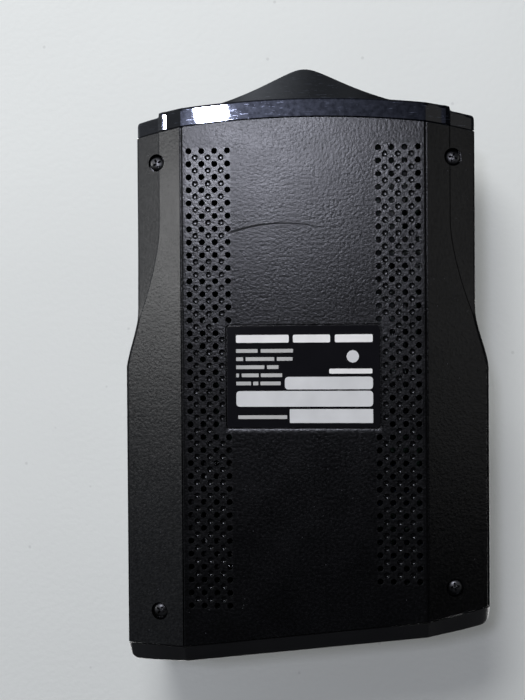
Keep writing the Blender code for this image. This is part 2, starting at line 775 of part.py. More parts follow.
def build_main_board():
    """Main board with its two screws, chips and the parts under it."""
    far = PCB_DISPLAY_CLEARANCE
    outline = [(PCB_HALF, display_edge(PCB_HALF) + far), (PCB_HALF, PCB_NOSE - 5.0),
               (PCB_HALF - 5.0, PCB_NOSE), (5.0 - PCB_HALF, PCB_NOSE),
               (-PCB_HALF, PCB_NOSE - 5.0), (-PCB_HALF, display_edge(-PCB_HALF) + far)]
    holes = [circle(1.2, spot, 10) for spot in PCB_SCREWS]
    add_plate("main_board", [outline] + holes, PCB_LOW, PCB_HIGH, "board")
    for index, (x, y) in enumerate(PCB_SCREWS):
        profile = [(0.0, 21.5), (0.8, 21.0), (0.8, PCB_LOW - GAP), (1.7, PCB_LOW - GAP),
                   (1.7, PCB_LOW - 1.3), (0.0, PCB_LOW - 1.5)]
        add_turned("board_screw_%d" % (index + 1), profile, (x, y, 0.0), "steel", sides=12)
    on_top = PCB_HIGH + GAP
    add_box("processor_chip", (-5.0, -23.0, on_top), (5.0, -13.0, on_top + 1.4), "black_plastic",
            bevel=0.2)
    add_box("gps_patch", (-18.0, -9.0, on_top), (0.0, 9.0, on_top + 4.0), "ceramic", bevel=0.4)
    add_plate("gps_patch_electrode", [rectangle(14.0, 14.0, (-9.0, 0.0), 0.8)],
              on_top + 4.3, on_top + 4.5, "silver")
    add_box("gps_receiver", (6.0, -5.0, on_top), (18.0, 7.0, on_top + 2.4), "tin", bevel=0.4)
    below = PCB_LOW - GAP
    add_cylinder("backup_capacitor", 5.5, (-16.0, -23.0, below), (-16.0, -23.0, below - 5.5),
                 "sleeve_blue", sides=20)
    for index, x in enumerate((-20.0, -12.0)):
        add_turned("electrolytic_%d" % (index + 1),
                   [(0.0, 0.0), (3.15, 0.0), (3.15, -1.0), (2.9, -1.4), (3.15, -1.8),
                    (3.15, -7.4), (2.8, -7.7), (0.0, -7.7)],
                   (x, -36.0, below), "sleeve_blue", sides=16)
    add_box("power_inductor", (-24.0, -14.0, below - 4.0), (-17.0, -7.0, below), "ferrite",
            bevel=0.8)


def build_radar():
    """Horn antenna looking forward, with its microwave board and screening can."""
    bm = bmesh.new()
    rings = []
    for y, half_x, low, high in ((HORN_MOUTH_Y, 12.0, 3.0, 14.0), (HORN_THROAT_Y, 5.5, 5.5, 12.0)):
        corners = ((-1, low), (1, low), (1, high), (-1, high))
        rings.append([bm.verts.new(Vector((HORN_X + side * half_x, y, z)) * MM)
                      for side, z in corners])
    for index in range(4):
        following = (index + 1) % 4
        bm.faces.new((rings[0][index], rings[0][following], rings[1][following],
                      rings[1][index]))
    bm.faces.new(rings[1])
    bmesh.ops.recalc_face_normals(bm, faces=bm.faces)
    horn = from_bmesh("horn_antenna", bm, "zinc")
    wall = horn.modifiers.new("wall", 'SOLIDIFY')
    wall.thickness = HORN_WALL * MM
    wall.offset = -1.0
    wall.use_even_offset = True
    add_box("microwave_can", (-20.0, -6.0, 4.5), (-1.0, HORN_THROAT_Y - GAP, 12.4), "zinc", bevel=0.6)
    add_box("microwave_board", (-22.0, -7.0, 12.7), (1.0, 14.0, 13.7), "board")


def build_laser():
    """Laser receiver beside the horn: lens, barrel, detector and its small board."""
    x, z = LASER_X, LASER_Z
    turn = (-pi / 2, 0.0, 0.0)
    add_turned("laser_lens", [(0.0, 2.6), (2.0, 2.4), (3.6, 1.7), (4.6, 0.6), (4.6, 0.0),
                              (0.0, 0.0)], (x, LASER_Y, z), "lens", sides=20, tilt=turn)
    add_turned("laser_barrel", [(5.9, 2.0), (5.9, -13.0), (3.0, -13.0), (3.0, -0.6),
                                (4.95, -0.3), (4.95, 2.0)],
               (x, LASER_Y, z), "black_plastic", sides=20, tilt=turn)
    add_box("laser_detector", (x - 2.0, 29.2, z - 2.0), (x + 2.0, 30.6, z + 2.0),
            "black_plastic", bevel=0.2)
    add_box("laser_board", (x - 6.0, 27.7, z - 5.5), (x + 6.0, 28.9, z + 6.8), "board")


def build_speaker():
    """Speaker over the grille: gasket, frame, cone that moves and magnet."""
    x, y = SPEAKER_CENTRE
    r = SPEAKER_RADIUS
    floor = WALL + GAP
    inner = r - GASKET_WIDTH
    add_turned("speaker_gasket", [(r, GASKET_HEIGHT), (r, 0.0), (inner, 0.0), (inner, GASKET_HEIGHT)],
               (x, y, floor), "foam", sides=28)
    base = floor + GASKET_HEIGHT + GAP
    add_turned("speaker_frame", [(4.0, 5.0), (8.0, 5.0), (12.4, 0.8), (r, 0.8), (r, 0.0),
                                 (12.0, 0.0), (7.6, 4.2), (4.0, 4.2)],
               (x, y, base), "tin", sides=28)
    add_turned("speaker_cone", [(0.0, 5.6), (3.4, 5.6), (3.4, 2.6), (7.4, 2.6), (10.2, 0.4),
                                (10.7, 0.4), (10.7, -0.1), (10.0, -0.1), (7.2, 2.0),
                                (3.4, 2.0), (2.0, 1.2), (0.0, 0.9)],
               (x, y, base), "paper", sides=24)
    top = base + 5.0 + GAP
    add_turned("speaker_magnet", [(3.8, 3.2), (7.5, 3.2), (7.5, 0.0), (3.8, 0.0)],
               (x, y, top), "ferrite", sides=20)
    wires = (("speaker_wire_red", "wire_red", 1.5), ("speaker_wire_black", "wire_black", -1.5))
    for name, palette, offset in wires:
        curve = bpy.data.curves.new(name, 'CURVE')
        curve.dimensions = '3D'
        curve.bevel_depth = WIRE_RADIUS * MM
        curve.bevel_resolution = 1
        curve.use_fill_caps = True
        spline = curve.splines.new('POLY')
        steps = 10
        spline.points.add(steps)
        for step, point in enumerate(spline.points):
            share = step / steps
            out = x - 9.3 - 6.0 * sin(share * pi / 2)
            rise = mix(base + 5.6, PCB_LOW - 0.5, ease(share))
            point.co = (out * MM, (y + offset) * MM, rise * MM, 1.0)
        place(name, curve, palette)


def build_sockets():
    """Power jack on one side and data socket on the other, both hung under the board."""
    x0, x1 = SOCKET_INNER_X, SOCKET_OUTER_X
    jack = add_box("power_jack", (x0, JACK_Y - 4.5, 6.8), (x1, JACK_Y + 4.5, PCB_LOW - GAP),
                   "black_plastic")
    bore = add_cylinder("jack_bore", JACK_BORE, (x0 + 2.0, JACK_Y, JACK_Z),
                        (x1 + 2.0, JACK_Y, JACK_Z), sides=16)
    pin = add_cylinder("jack_pin", 0.7, (x0 + 1.0, JACK_Y, JACK_Z), (x1 - 1.5, JACK_Y, JACK_Z),
                       sides=8)
    cut(jack, bore)
    join(jack, pin)
    usb = add_box("data_socket", (-x1, JACK_Y - 3.9, USB_Z - 2.0),
                  (-x0, JACK_Y + 3.9, PCB_LOW - GAP), "tin")
    mouth = add_box("data_socket_mouth", (-x1 - 1.0, JACK_Y - 3.4, USB_Z - 1.6),
                    (-x0 - 2.5, JACK_Y + 3.4, USB_Z + 1.6))
    tongue = add_box("data_socket_tongue", (-x1 + 1.5, JACK_Y - 2.4, USB_Z - 0.1),
                     (-x0 - 2.0, JACK_Y + 2.4, USB_Z + 0.9))
    cut(usb, mouth)
    join(usb, tongue)


# ---------------------------------------------------------------- buttons

def build_button(name, x):
    """One push button over its tact switch; button and plunger travel straight down."""
    width, depth = BUTTON_SIZE
    shell_top = top_z(abs(x) + width / 2, BUTTON_Y)
    shell_bottom = top_z(abs(x) + width / 2, BUTTON_Y) - WALL - 0.25
    cap_top = min(TOP_DISPLAY, shell_top + 1.0)
    on_board = PCB_HIGH + GAP
    button = solid_plate("button_" + name, [rectangle(width, depth, (x, BUTTON_Y), 1.0)],
                         shell_bottom - 1.3, cap_top, "button")
    flange = solid_plate(name + "_flange", [rectangle(width + 2.0, depth + 2.0, (x, BUTTON_Y))],
                         shell_bottom - 1.3, shell_bottom - GAP)
    stem = add_cylinder(name + "_stem", 1.6, (x, BUTTON_Y, on_board + 4.6),
                        (x, BUTTON_Y, shell_bottom - 1.0), sides=12)
    join(button, flange)
    join(button, stem)
    add_cylinder("plunger_" + name, 1.5, (x, BUTTON_Y, on_board + 2.4),
                 (x, BUTTON_Y, on_board + 4.3), "ivory", sides=12)
    base = add_box("switch_" + name, (x - 3.0, BUTTON_Y - 3.0, on_board),
                   (x + 3.0, BUTTON_Y + 3.0, on_board + 3.5), "black_plastic")
    well = add_cylinder(name + "_well", 1.8, (x, BUTTON_Y, on_board + 1.6),
                        (x, BUTTON_Y, on_board + 5.0), sides=12)
    cut(base, well)


clear_scene()
PARTS = add_collection("radar_detector")
CUTTERS = add_collection("cutters")
DISPLAY_FRAME = bpy.data.objects.new("display_frame", None)
PARTS.objects.link(DISPLAY_FRAME)
DISPLAY_FRAME.location = (0.0, DISPLAY_EDGE * MM, 0.0)
DISPLAY_FRAME.rotation_euler.z = -DISPLAY_ANGLE

build_lower_case()
build_upper_case()
build_nose_window()
build_display_bezel()
build_bracket_socket()
build_rating_label()
build_case_screws()
build_display()
build_ribbon()
build_main_board()
build_radar()
build_laser()
build_speaker()
build_sockets()
for button_name, button_x in zip(BUTTON_NAMES, BUTTON_X):
    build_button(button_name, button_x)
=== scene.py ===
import json
from functools import lru_cache
from math import cos, hypot, pi, radians, sin, sqrt, tan

import bmesh
import bpy
from mathutils import Euler, Matrix, Vector


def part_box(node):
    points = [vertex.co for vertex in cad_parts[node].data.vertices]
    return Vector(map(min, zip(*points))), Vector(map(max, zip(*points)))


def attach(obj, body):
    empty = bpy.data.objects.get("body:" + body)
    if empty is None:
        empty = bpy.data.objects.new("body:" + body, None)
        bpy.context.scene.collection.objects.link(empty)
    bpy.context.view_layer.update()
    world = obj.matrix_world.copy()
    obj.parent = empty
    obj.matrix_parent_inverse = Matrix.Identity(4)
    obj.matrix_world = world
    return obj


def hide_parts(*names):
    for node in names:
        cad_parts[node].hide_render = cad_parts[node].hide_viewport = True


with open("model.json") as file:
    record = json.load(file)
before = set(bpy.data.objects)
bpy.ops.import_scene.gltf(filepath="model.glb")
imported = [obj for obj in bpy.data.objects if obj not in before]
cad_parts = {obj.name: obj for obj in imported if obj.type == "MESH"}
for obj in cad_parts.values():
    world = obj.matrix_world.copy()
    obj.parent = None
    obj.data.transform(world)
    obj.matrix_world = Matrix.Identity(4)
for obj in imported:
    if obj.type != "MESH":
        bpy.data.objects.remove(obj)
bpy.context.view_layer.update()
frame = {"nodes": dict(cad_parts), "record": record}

MM = 0.001


def node_box(name):
    """Lowest and highest corner of a CAD node in millimetres."""
    low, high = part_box(name)
    return low / MM, high / MM


def node_centre(name):
    low, high = node_box(name)
    return (low + high) / 2


# Sizes read from the frame
DISPLAY_HALF = node_box("display_bezel")[1].x
NOSE_HALF = node_box("nose_window")[1].x
TIP_Y = node_box("nose_window")[1].y
PARTING_LOW = node_box("lower_case")[1].z
PARTING_HIGH = node_box("upper_case")[0].z
TOP_DISPLAY = node_box("upper_case")[1].z
NOSE_EDGE = node_box("lower_case")[1].y

# Plan and section of the case, as in the CAD model
GAP = 0.3
WALL = 1.8
PANEL_HALF = 23.4       # half the width of the flat centre panel
EAR_X = 27.9            # second crease of the wing at the nose
WAIST_START = 27.2      # Y where that crease starts to run out to the side
FLARE_START = 9.2       # Y where it has reached the side and the case starts to widen
FLARE_END = -0.3        # Y where the case is widest
NOSE_ARC = 1.4          # how far the nose seam falls back at the panel's edge
DISPLAY_EDGE = -51.5    # Y of the display seam on the centre line; the seam is at an angle
DISPLAY_ANGLE = radians(6.475)
WING_SWEEP = 0.08       # how fast the seam sweeps forward over the wings
WING_ANGLE = radians(22.0)
WING_SLOPE = tan(WING_ANGLE)
EAR_SLOPE = tan(radians(29.0))
TOP_NOSE = 25.5         # height of the ridge at the nose
SLOPE_START = -10.0     # the ridge falls between these two Y
SLOPE_END = 47.0
RIM_IN = 0.4
RIM_DEPTH = 1.5
SHOULDER_IN = 1.2
SHOULDER_DROP = 6.0
CROWN_IN = 9.0          # edge of the flat top, in from the side and below the ridge
CROWN_DROP = 1.5

# Details of the underside
CREASE_STEP = 0.10      # step up at the second crease of the wing
GROOVE_WIDTH = 0.22     # groove between the centre panel and the wings
GROOVE_DEPTH = 0.36
PANEL_COLUMNS = 24      # columns across the shell between the panel's edges

# Nose window and display bezel
BAND_DEPTH = 3.7        # from a seam to the outer edge of the end piece
EAR_DEPTH = 3.0
BEAK_REACH = 25.0       # how far the beak spreads to each side of its tip
BEAK_ROUNDING = 3.0
BEAK_POWER = 2.2
LEDGE = (26.4, 27.2)    # from the first X to the second the nose band's underside is level
LEDGE_SLOPE = -0.028
EAR_STEP = 0.45         # the undersides of the window's ears lie this far above the band's
SEAM_LIP = 0.22         # a lip of the nose window closes the seam this far behind its edge
CREASE_WIDTH = 0.012    # columns this near each crease keep it sharp
NOSE_CORNER = 0.6
BEZEL_CORNER = 1.8
BEZEL_CHAMFER = 3.0     # under the centre panel, and at the sides
SIDE_CHAMFER = 1.6
SOLID_SIDE = 30.5       # beyond this X the two end pieces are solid
SIDE_BLEND = 5.0        # columns this near the side follow its slant
EDGE_ROUNDING = 0.6     # width and rise of the rounded bottom edge at the side
EDGE_LIFT = 0.42

# Perforated strips: through holes on a square grid, blind dimples between them
PITCH = 2.5
GRILLE_COLUMNS = 7
HOLE_RADIUS = 0.56
HOLE_RIM = 0.05
DIMPLE = ((0.55, 0.05), (0.50, 0.16), (0.44, 0.25), (0.36, 0.285), (0.18, 0.295))   # radius, depth
FIRST_ROW_Y = 41.2
INNER_COLUMN_X = 14.4
ROWS = {1.0: 36, -1.0: 34}      # rows of through holes in the strip on each side
LABEL_CELLS = range(27, 44)     # half-pitch rows beside the label, which have no inner column
LABEL_ENDS = (27, 43)           # the second column has no hole in the first and last of them
RING_POINTS = 16
DIMPLE_SLOT = 1                 # material slots of the lower case
STRIP_SLOT = 2

# Label recess and the print on the label, whose material slots follow the film's
LABEL_CENTRE = node_centre("rating_label")
LABEL_SIZE = (29.8, 20.1)
LABEL_CORNER = 0.8
LABEL_DEPTH = 0.5
LABEL_CHAMFER = 0.3     # width of the chamfer along the recess's display-side edge
FILM_CORNER = 0.6
INK_HEIGHT = 0.012
WHITE, GREY, SILVER = 1, 2, 3
# Each bar: its ends from the label's left edge, its middle from the top edge, its height, its
# material slot and the radius of its corners
TITLE_BARS = ((1.75, 11.9), (12.7, 19.8), (20.7, 27.9))
TEXT_LINES = (((1.75, 5.9), (6.5, 12.7)), ((1.75, 3.1), (3.6, 9.1), (9.6, 12.6)),
              ((1.75, 7.2), (7.7, 9.9)), ((1.75, 2.3), (2.8, 6.1), (6.5, 10.6)),
              ((1.75, 4.6), (5.0, 6.0), (6.4, 10.3)))
LINE_PITCH = 1.56
PRINT = [(*ends, 2.5, 1.5, WHITE, 0.25) for ends in TITLE_BARS]
PRINT += [(*ends, 4.8 + index * LINE_PITCH, 0.7, GREY, 0.08)
          for index, line in enumerate(TEXT_LINES) for ends in line]
DISC = (22.9, 25.3, 5.95, 2.4, SILVER, 1.2)
PRINT += [(2.1, 11.5, 17.5, 0.7, GREY, 0.08), DISC, (19.6, 27.8, 8.75, 0.95, WHITE, 0.2),
          (11.1, 27.9, 11.0, 2.4, SILVER, 0.6), (1.75, 27.9, 14.0, 3.0, SILVER, 0.6),
          (12.0, 27.9, 17.3, 2.65, SILVER, 0.15)]

# Screws: the angle of each one's cross, and the bores and bosses that they stand in
SCREW_TURNS = {"case_screw_nose_right": 62.0, "case_screw_nose_left": 18.0,
               "case_screw_display_right": 35.0, "case_screw_display_left": 80.0}
SCREWS = [name for name in frame["nodes"] if name.startswith("case_screw_")]
HEAD_RADIUS = 1.4
SHAFT_RADIUS = 0.85
SCREW_HOLE = 1.15
COUNTERBORE = 1.7
SCREW_SEAT = 4.6
BOSS_RADIUS = 2.75

# Openings of the top cover, the side walls and the display end
BUTTON_NAMES = ("power", "volume_up", "volume_down", "mode")
BUTTON_SIZE = (10.0, 5.0)
SOCKET_SIZE = (24.0, 16.0)
OPENING_CORNER = 1.3
JACK_Z = 10.8
JACK_BORE = 3.3
JACK_MOUTH = 3.9
DATA_Z = 11.8
DATA_SIZE = (8.8, 5.0)
DATA_FLARE = 1.4
WINDOW_CENTRE = (3.5, 16.0)     # X and Z in the display's plan
WINDOW_OPENING = (36.0, 15.0, 1.5)
WINDOW_FLARE = 1.2
SENSOR_X = -19.5
SENSOR_OPENING = 2.5
SENSOR_MOUTH = 3.2

# Stations along the case, closer together through the waist
STATION_LENGTH = 99.0
STATIONS = ([0.0, 9.0, 18.0, 27.0, 36.0, 45.0] + [48.0 + 1.1 * step for step in range(30)]
            + [84.0, 88.0, 92.0, 96.0, STATION_LENGTH])

# A line rubbed into the underside, part of a circle
SCUFF_CENTRE = (3.8, -4.6)
SCUFF_RADIUS = 31.7

# Camera, stage sheets, room and lamps
CAMERA_LENS = 66.86
CAMERA_PLACE = (-16.83, 5.67, -247.65)
CAMERA_TILT = (-0.675, 5.685, -0.416)
FLOOR_Z = -0.02
TABLE_Z = 31.2                  # the device lies on its top against this sheet
BRIGHT_SIDE = (0.8, 0.6, 0.0)   # the room is bright on this side
ROOM_LIGHT = (0.012, 0.50)      # and goes from the first strength to the second
BACKDROP = 0.72
FLOOR_LIGHT = 2.3               # strength of the even light on the floor
SKY_PLACE = (243, 342, 908)     # the side that it comes from
LAMP_TINTS = {"panel_lamp": (0.84, 0.86, 1.0), "nose_lamp": (0.62, 0.69, 1.0)}

DISPLAY_FRAME = Matrix.Translation((0.0, DISPLAY_EDGE, 0.0)) @ Matrix.Rotation(-DISPLAY_ANGLE, 4, 'Z')


def mix(first, second, share):
    return first + (second - first) * share


def ease(share):
    """Smooth step from 0 to 1."""
    share = max(0.0, min(1.0, share))
    return share * share * (3.0 - 2.0 * share)


# ---- form of the case

def half_width(y):
    """Half the width of the case, which widens in a nearly straight line at the waist."""
    share = max(0.0, min(1.0, (FLARE_START - y) / (FLARE_START - FLARE_END)))
    return mix(NOSE_HALF, DISPLAY_HALF, mix(share, ease(share), 0.35))


def waist_x(y):
    """X of the second wing crease, which runs out to the side at the waist."""
    share = min(1.0, max(0.0, (WAIST_START - y) / (WAIST_START - FLARE_START)))
    return mix(EAR_X, half_width(y) - 0.5, share ** 1.6)


def bottom_z(x, y):
    x = abs(x)
    crease = waist_x(y)
    wing = max(0.0, min(x, crease) - PANEL_HALF) * WING_SLOPE
    return wing + max(0.0, x - crease) * EAR_SLOPE


def crown_z(y):
    return mix(TOP_DISPLAY, TOP_NOSE, ease((y - SLOPE_START) / (SLOPE_END - SLOPE_START)))


def top_section(y):
    side = half_width(y)
    ridge = crown_z(y)
    return [(0.0, ridge), (side - CROWN_IN, ridge - CROWN_DROP),
            (side - SHOULDER_IN, ridge - SHOULDER_DROP)]


def top_z(x, y):
    points = top_section(y)
    x = abs(x)
    for (x0, z0), (x1, z1) in zip(points, points[1:]):
        if x <= x1:
            return mix(z0, z1, (x - x0) / (x1 - x0))
    return points[-1][1]


def nose_edge(x):
    return NOSE_EDGE - NOSE_ARC * (x / PANEL_HALF) ** 2


def display_edge(x):
    sweep = max(0.0, abs(x) - PANEL_HALF) * WING_SWEEP
    return DISPLAY_EDGE - tan(DISPLAY_ANGLE) * x + sweep


def station_y(x, share):
    return mix(display_edge(x), nose_edge(x), share)


def side_x(z, y):
    """X of the side wall at a height."""
    side = half_width(y)
    low = bottom_z(side, y)
    rim_low = PARTING_LOW - RIM_DEPTH
    rim_high = PARTING_HIGH + RIM_DEPTH
    shoulder = crown_z(y) - SHOULDER_DROP
    if z < rim_low:
        return mix(side, side - RIM_IN, (z - low) / (rim_low - low))
    if z < rim_high:
        return side - RIM_IN
    return side - mix(RIM_IN, SHOULDER_IN, (z - rim_high) / (shoulder - rim_high))


def band_edge(x):
    """Y of the outer edge of the gloss band; the ears are set back."""
    ear = ease((abs(x) - EAR_X) / 0.3)
    return nose_edge(x) + mix(BAND_DEPTH, EAR_DEPTH, ear)


def beak_edge(x):
    """Y of the point of the nose, a rounded peak on the centre line."""
    reach = (hypot(x, BEAK_ROUNDING) - BEAK_ROUNDING) / BEAK_REACH
    return band_edge(x) + (TIP_Y - band_edge(0.0)) * max(0.0, 1.0 - reach) ** BEAK_POWER


def band_z(x, y):
    """Height of the nose window's underside, with a level ledge beside each set-back ear."""
    x = abs(x)
    if x > EAR_X:
        return bottom_z(x, y) + EAR_STEP * ease((x - EAR_X) / 0.25)
    if x <= LEDGE[0]:
        return bottom_z(x, y)
    level = bottom_z(LEDGE[0], y) + LEDGE_SLOPE * (min(x, LEDGE[1]) - LEDGE[0])
    return mix(level, bottom_z(EAR_X, y), max(0.0, x - LEDGE[1]) / (EAR_X - LEDGE[1]))


# ---- mesh helpers

def rounded(points, radii, steps=4):
    """Open polyline whose inner corners are rounded, each with its own radius."""
    points = [Vector(point) for point in points]
    line = [points[0]]
    for before, corner, after, radius in zip(points, points[1:], points[2:], radii):
        into = corner - before
        away = after - corner
        room = min(into.length, away.length)
        turn = into.angle(away, 0.0)
        reach = min(radius * tan(turn / 2), 0.45 * room) if turn > 0.01 else 0.2 * room
        start = corner - into.normalized() * reach
        end = corner + away.normalized() * reach
        for step in range(steps + 1):
            share = step / steps
            line.append(start * (1 - share) ** 2 + corner * 2 * share * (1 - share) + end * share ** 2)
    line.append(points[-1])
    return line


def rounded_rectangle(width, depth, radius, centre=(0.0, 0.0), steps=5):
    """Anticlockwise outline of a rectangle with rounded corners."""
    outline = []
    for quarter, (side, end) in enumerate(((1, 1), (-1, 1), (-1, -1), (1, -1))):
        middle = Vector(centre) + Vector((side * (width / 2 - radius), end * (depth / 2 - radius)))
        for step in range(steps + 1):
            turn = (quarter + step / steps) * pi / 2
            outline.append(middle + Vector((cos(turn), sin(turn))) * radius)
    return outline


def circle(centre, radius, sides, start=0.0):
    """Points of a circle in the plane, from the angle start."""
    turns = [start + 2 * pi * step / sides for step in range(sides)]
    return [(centre[0] + radius * cos(turn), centre[1] + radius * sin(turn)) for turn in turns]


def strip(bm, first, second, closed=True):
    """Quads between two rows of vertices."""
    faces = []
    for index in range(len(first) if closed else len(first) - 1):
        following = (index + 1) % len(first)
        faces.append(bm.faces.new((first[index], first[following], second[following], second[index])))
    return faces


def add_ring(bm, points, z=None):
    """Row of vertices, from 3D points or from 2D points at a height."""
    if z is None:
        return [bm.verts.new(point) for point in points]
    return [bm.verts.new((point[0], point[1], z)) for point in points]


def add_stack(bm, rings, slot=0):
    """Closed solid lofted through rings of vertices."""
    faces = [bm.faces.new(rings[0][::-1]), bm.faces.new(rings[-1])]
    for first, second in zip(rings, rings[1:]):
        faces += strip(bm, first, second)
    for face in faces:
        face.material_index = slot


def add_levels(bm, centre, levels, slot=0, steps=5):
    """Closed solid through rounded rectangles, each a width, a depth, a corner radius and a Z."""
    add_stack(bm, [add_ring(bm, rounded_rectangle(width, depth, radius, centre, steps), z)
                   for width, depth, radius, z in levels], slot)


def add_plate(bm, width, depth, radius, centre, low, high, soft=0.0, slot=0, steps=5):
    """Plate with rounded corners and, where soft is set, rounded upper edges."""
    levels = [(width, depth, radius, low)]
    for step in range(4 if soft else 1):
        turn = step / 3 * pi / 2
        inset = soft * (1 - cos(turn))
        levels.append((width - 2 * inset, depth - 2 * inset, max(0.05, radius - inset),
                       high - soft * (1 - sin(turn))))
    add_levels(bm, centre, levels, slot, steps)


def add_turned(bm, profile, sides, centre=(0.0, 0.0)):
    """Turned solid about an upright axis; the profile's first and last points lie on the axis."""
    rings = [add_ring(bm, circle(centre, radius, sides), z) for radius, z in profile[1:-1]]
    for first, second in zip(rings, rings[1:]):
        strip(bm, first, second)
    for ring, (_, z) in ((rings[0], profile[0]), (rings[-1], profile[-1])):
        pole = bm.verts.new((*centre, z))
        for step in range(sides):
            bm.faces.new((ring[step], ring[(step + 1) % sides], pole))


def add_object(name, data):
    obj = bpy.data.objects.new(name, data)
    bpy.context.scene.collection.objects.link(obj)
    return obj


def finish_mesh(name, bm, sharp=35.0):
    """Scale a bmesh to metres and make it an object with smooth faces and sharp edges."""
    bmesh.ops.recalc_face_normals(bm, faces=bm.faces)
    bmesh.ops.scale(bm, vec=(MM, MM, MM), verts=bm.verts)
    mesh = bpy.data.meshes.new(name)
    bm.to_mesh(mesh)
    bm.free()
    mesh.shade_smooth()
    mesh.set_sharp_from_angle(angle=radians(sharp))
    return add_object(name, mesh)


def boolean(obj, tool, operation):
    """Apply a Boolean with a tool object, and remove the tool."""
    modifier = obj.modifiers.new("boolean", 'BOOLEAN')
    modifier.operation = operation
    modifier.object = tool
    modifier.solver = 'EXACT'
    graph = bpy.context.evaluated_depsgraph_get()
    mesh = bpy.data.meshes.new_from_object(obj.evaluated_get(graph))
    obj.modifiers.clear()
    obj.data = mesh
    bpy.data.objects.remove(tool, do_unlink=True)


def cut(obj, bm):
    """Cut a shape out of an object."""
    boolean(obj, finish_mesh("cutter", bm), 'DIFFERENCE')


def reshade(obj, sharp=35.0):
    """Smooth faces with sharp edges, and normals that keep the large faces flat."""
    obj.data.shade_smooth()
    obj.data.set_sharp_from_angle(angle=radians(sharp))
    obj.modifiers.new("flat_faces", 'WEIGHTED_NORMAL').keep_sharp = True


# ---- case halves

def lower_profile(y):
    """Section of the lower case outside, from the rim at +X to the rim at -X."""
    side = half_width(y)
    crease = waist_x(y)
    groove_out = PANEL_HALF + GROOVE_WIDTH
    level = bottom_z(crease, y)
    half = [(side - RIM_IN, PARTING_LOW), (side - RIM_IN, PARTING_LOW - RIM_DEPTH),
            (side, bottom_z(side, y)), (crease + 0.16, level + 0.13 + CREASE_STEP),
            (crease + 0.04, level + CREASE_STEP), (crease, level),
            (groove_out, bottom_z(groove_out, y)), (groove_out - 0.02, GROOVE_DEPTH),
            (PANEL_HALF, GROOVE_DEPTH), (PANEL_HALF - 0.03, 0.045), (PANEL_HALF - 0.38, 0.0),
            (PANEL_HALF - 0.75, 0.0)]
    return half, (1.0, 0.7, 0.05, 0.05, 0.05, 0.08, 0.05, 0.05, 0.1, 0.02)


def lower_inner_profile(y):
    """Section of the lower case inside, point for point with the outside."""
    side = half_width(y)
    rim = side - RIM_IN - WALL
    corner = side - WALL
    crease = min(waist_x(y) - 0.5, corner - 0.4)
    level = bottom_z(crease, y) + WALL / cos(WING_ANGLE)
    half = [(rim, PARTING_LOW), (rim, PARTING_LOW - RIM_DEPTH),
            (corner, bottom_z(corner, y) + 2.3), (crease + 0.3, level + 0.2),
            (crease + 0.1, level + 0.05), (crease, level),
            (PANEL_HALF + 0.6, WALL + 0.2), (PANEL_HALF + 0.25, WALL),
            (PANEL_HALF, WALL), (PANEL_HALF - 0.2, WALL), (PANEL_HALF - 0.4, WALL),
            (PANEL_HALF - 0.75, WALL)]
    return half, (0.5, 0.8, 0.05, 0.05, 0.05, 0.01, 0.01, 0.01, 0.01, 0.01)


def upper_profile(y):
    """Section of the top cover outside, from the rim at +X to the ridge."""
    rim = half_width(y) - RIM_IN
    half = [(rim, PARTING_HIGH), (rim, PARTING_HIGH + RIM_DEPTH)] + top_section(y)[:0:-1]
    return half + [(1.0, crown_z(y) - 0.06)], (3.0, 3.0, 8.0)


def upper_inner_profile(y):
    """Section of the top cover inside, point for point with the outside."""
    rim = half_width(y) - RIM_IN - WALL
    section = top_section(y)
    half = [(rim, PARTING_HIGH), (rim, PARTING_HIGH + RIM_DEPTH),
            (section[2][0] - WALL, section[2][1] - 0.9), (section[1][0] - 0.6, section[1][1] - WALL)]
    return half + [(1.0, crown_z(y) - WALL - 0.06)], (1.0, 1.5, 4.0)


@lru_cache(maxsize=None)
def full_section(profile, columns, y):
    """Whole section: the rounded half profile, the columns between and the mirrored half."""
    half, radii = profile(y)
    half = rounded(half, radii)
    inner_x, inner_z = half[-1]
    between = [Vector((mix(inner_x, -inner_x, column / columns), inner_z))
               for column in range(1, columns)]
    return half + between + [Vector((-x, z)) for x, z in reversed(half)]


def section_row(profile, columns, share):
    """The section at one station; each point's Y follows the slanted and curved ends."""
    row = []
    for index in range(len(full_section(profile, columns, 0.0))):
        y = station_y(0.0, share)
        for _ in range(3):
            x, z = full_section(profile, columns, round(y, 3))[index]
            y = station_y(x, share)
        row.append(Vector((x, y, z)))
    return row


def build_shell(outer, inner, columns):
    """Closed case half: outer and inner sheets joined round their edges."""
    bm = bmesh.new()
    sheets = []
    for profile in (outer, inner):
        rows = [add_ring(bm, section_row(profile, columns, station / STATION_LENGTH))
                for station in STATIONS]
        for first, second in zip(rows, rows[1:]):
            strip(bm, first, second, closed=False)
        sheets.append(rows)
    outside, inside = sheets
    for end in (0, -1):
        strip(bm, outside[end], inside[end], closed=False)
        strip(bm, [row[end] for row in outside], [row[end] for row in inside], closed=False)
    return bm


def screw_places():
    for name in SCREWS:
        centre = node_centre(name)
        yield centre.x, centre.y


def add_bosses(case, heights):
    """Join an upright cylinder to the case at each screw; heights gives foot and head at a place."""
    bm = bmesh.new()
    for place in screw_places():
        foot_and_head = [[bm.verts.new((x, y, heights(x, y)[end]))
                          for x, y in circle(place, BOSS_RADIUS, 24)] for end in (0, 1)]
        add_stack(bm, foot_and_head)
    boolean(case, finish_mesh("bosses", bm), 'UNION')


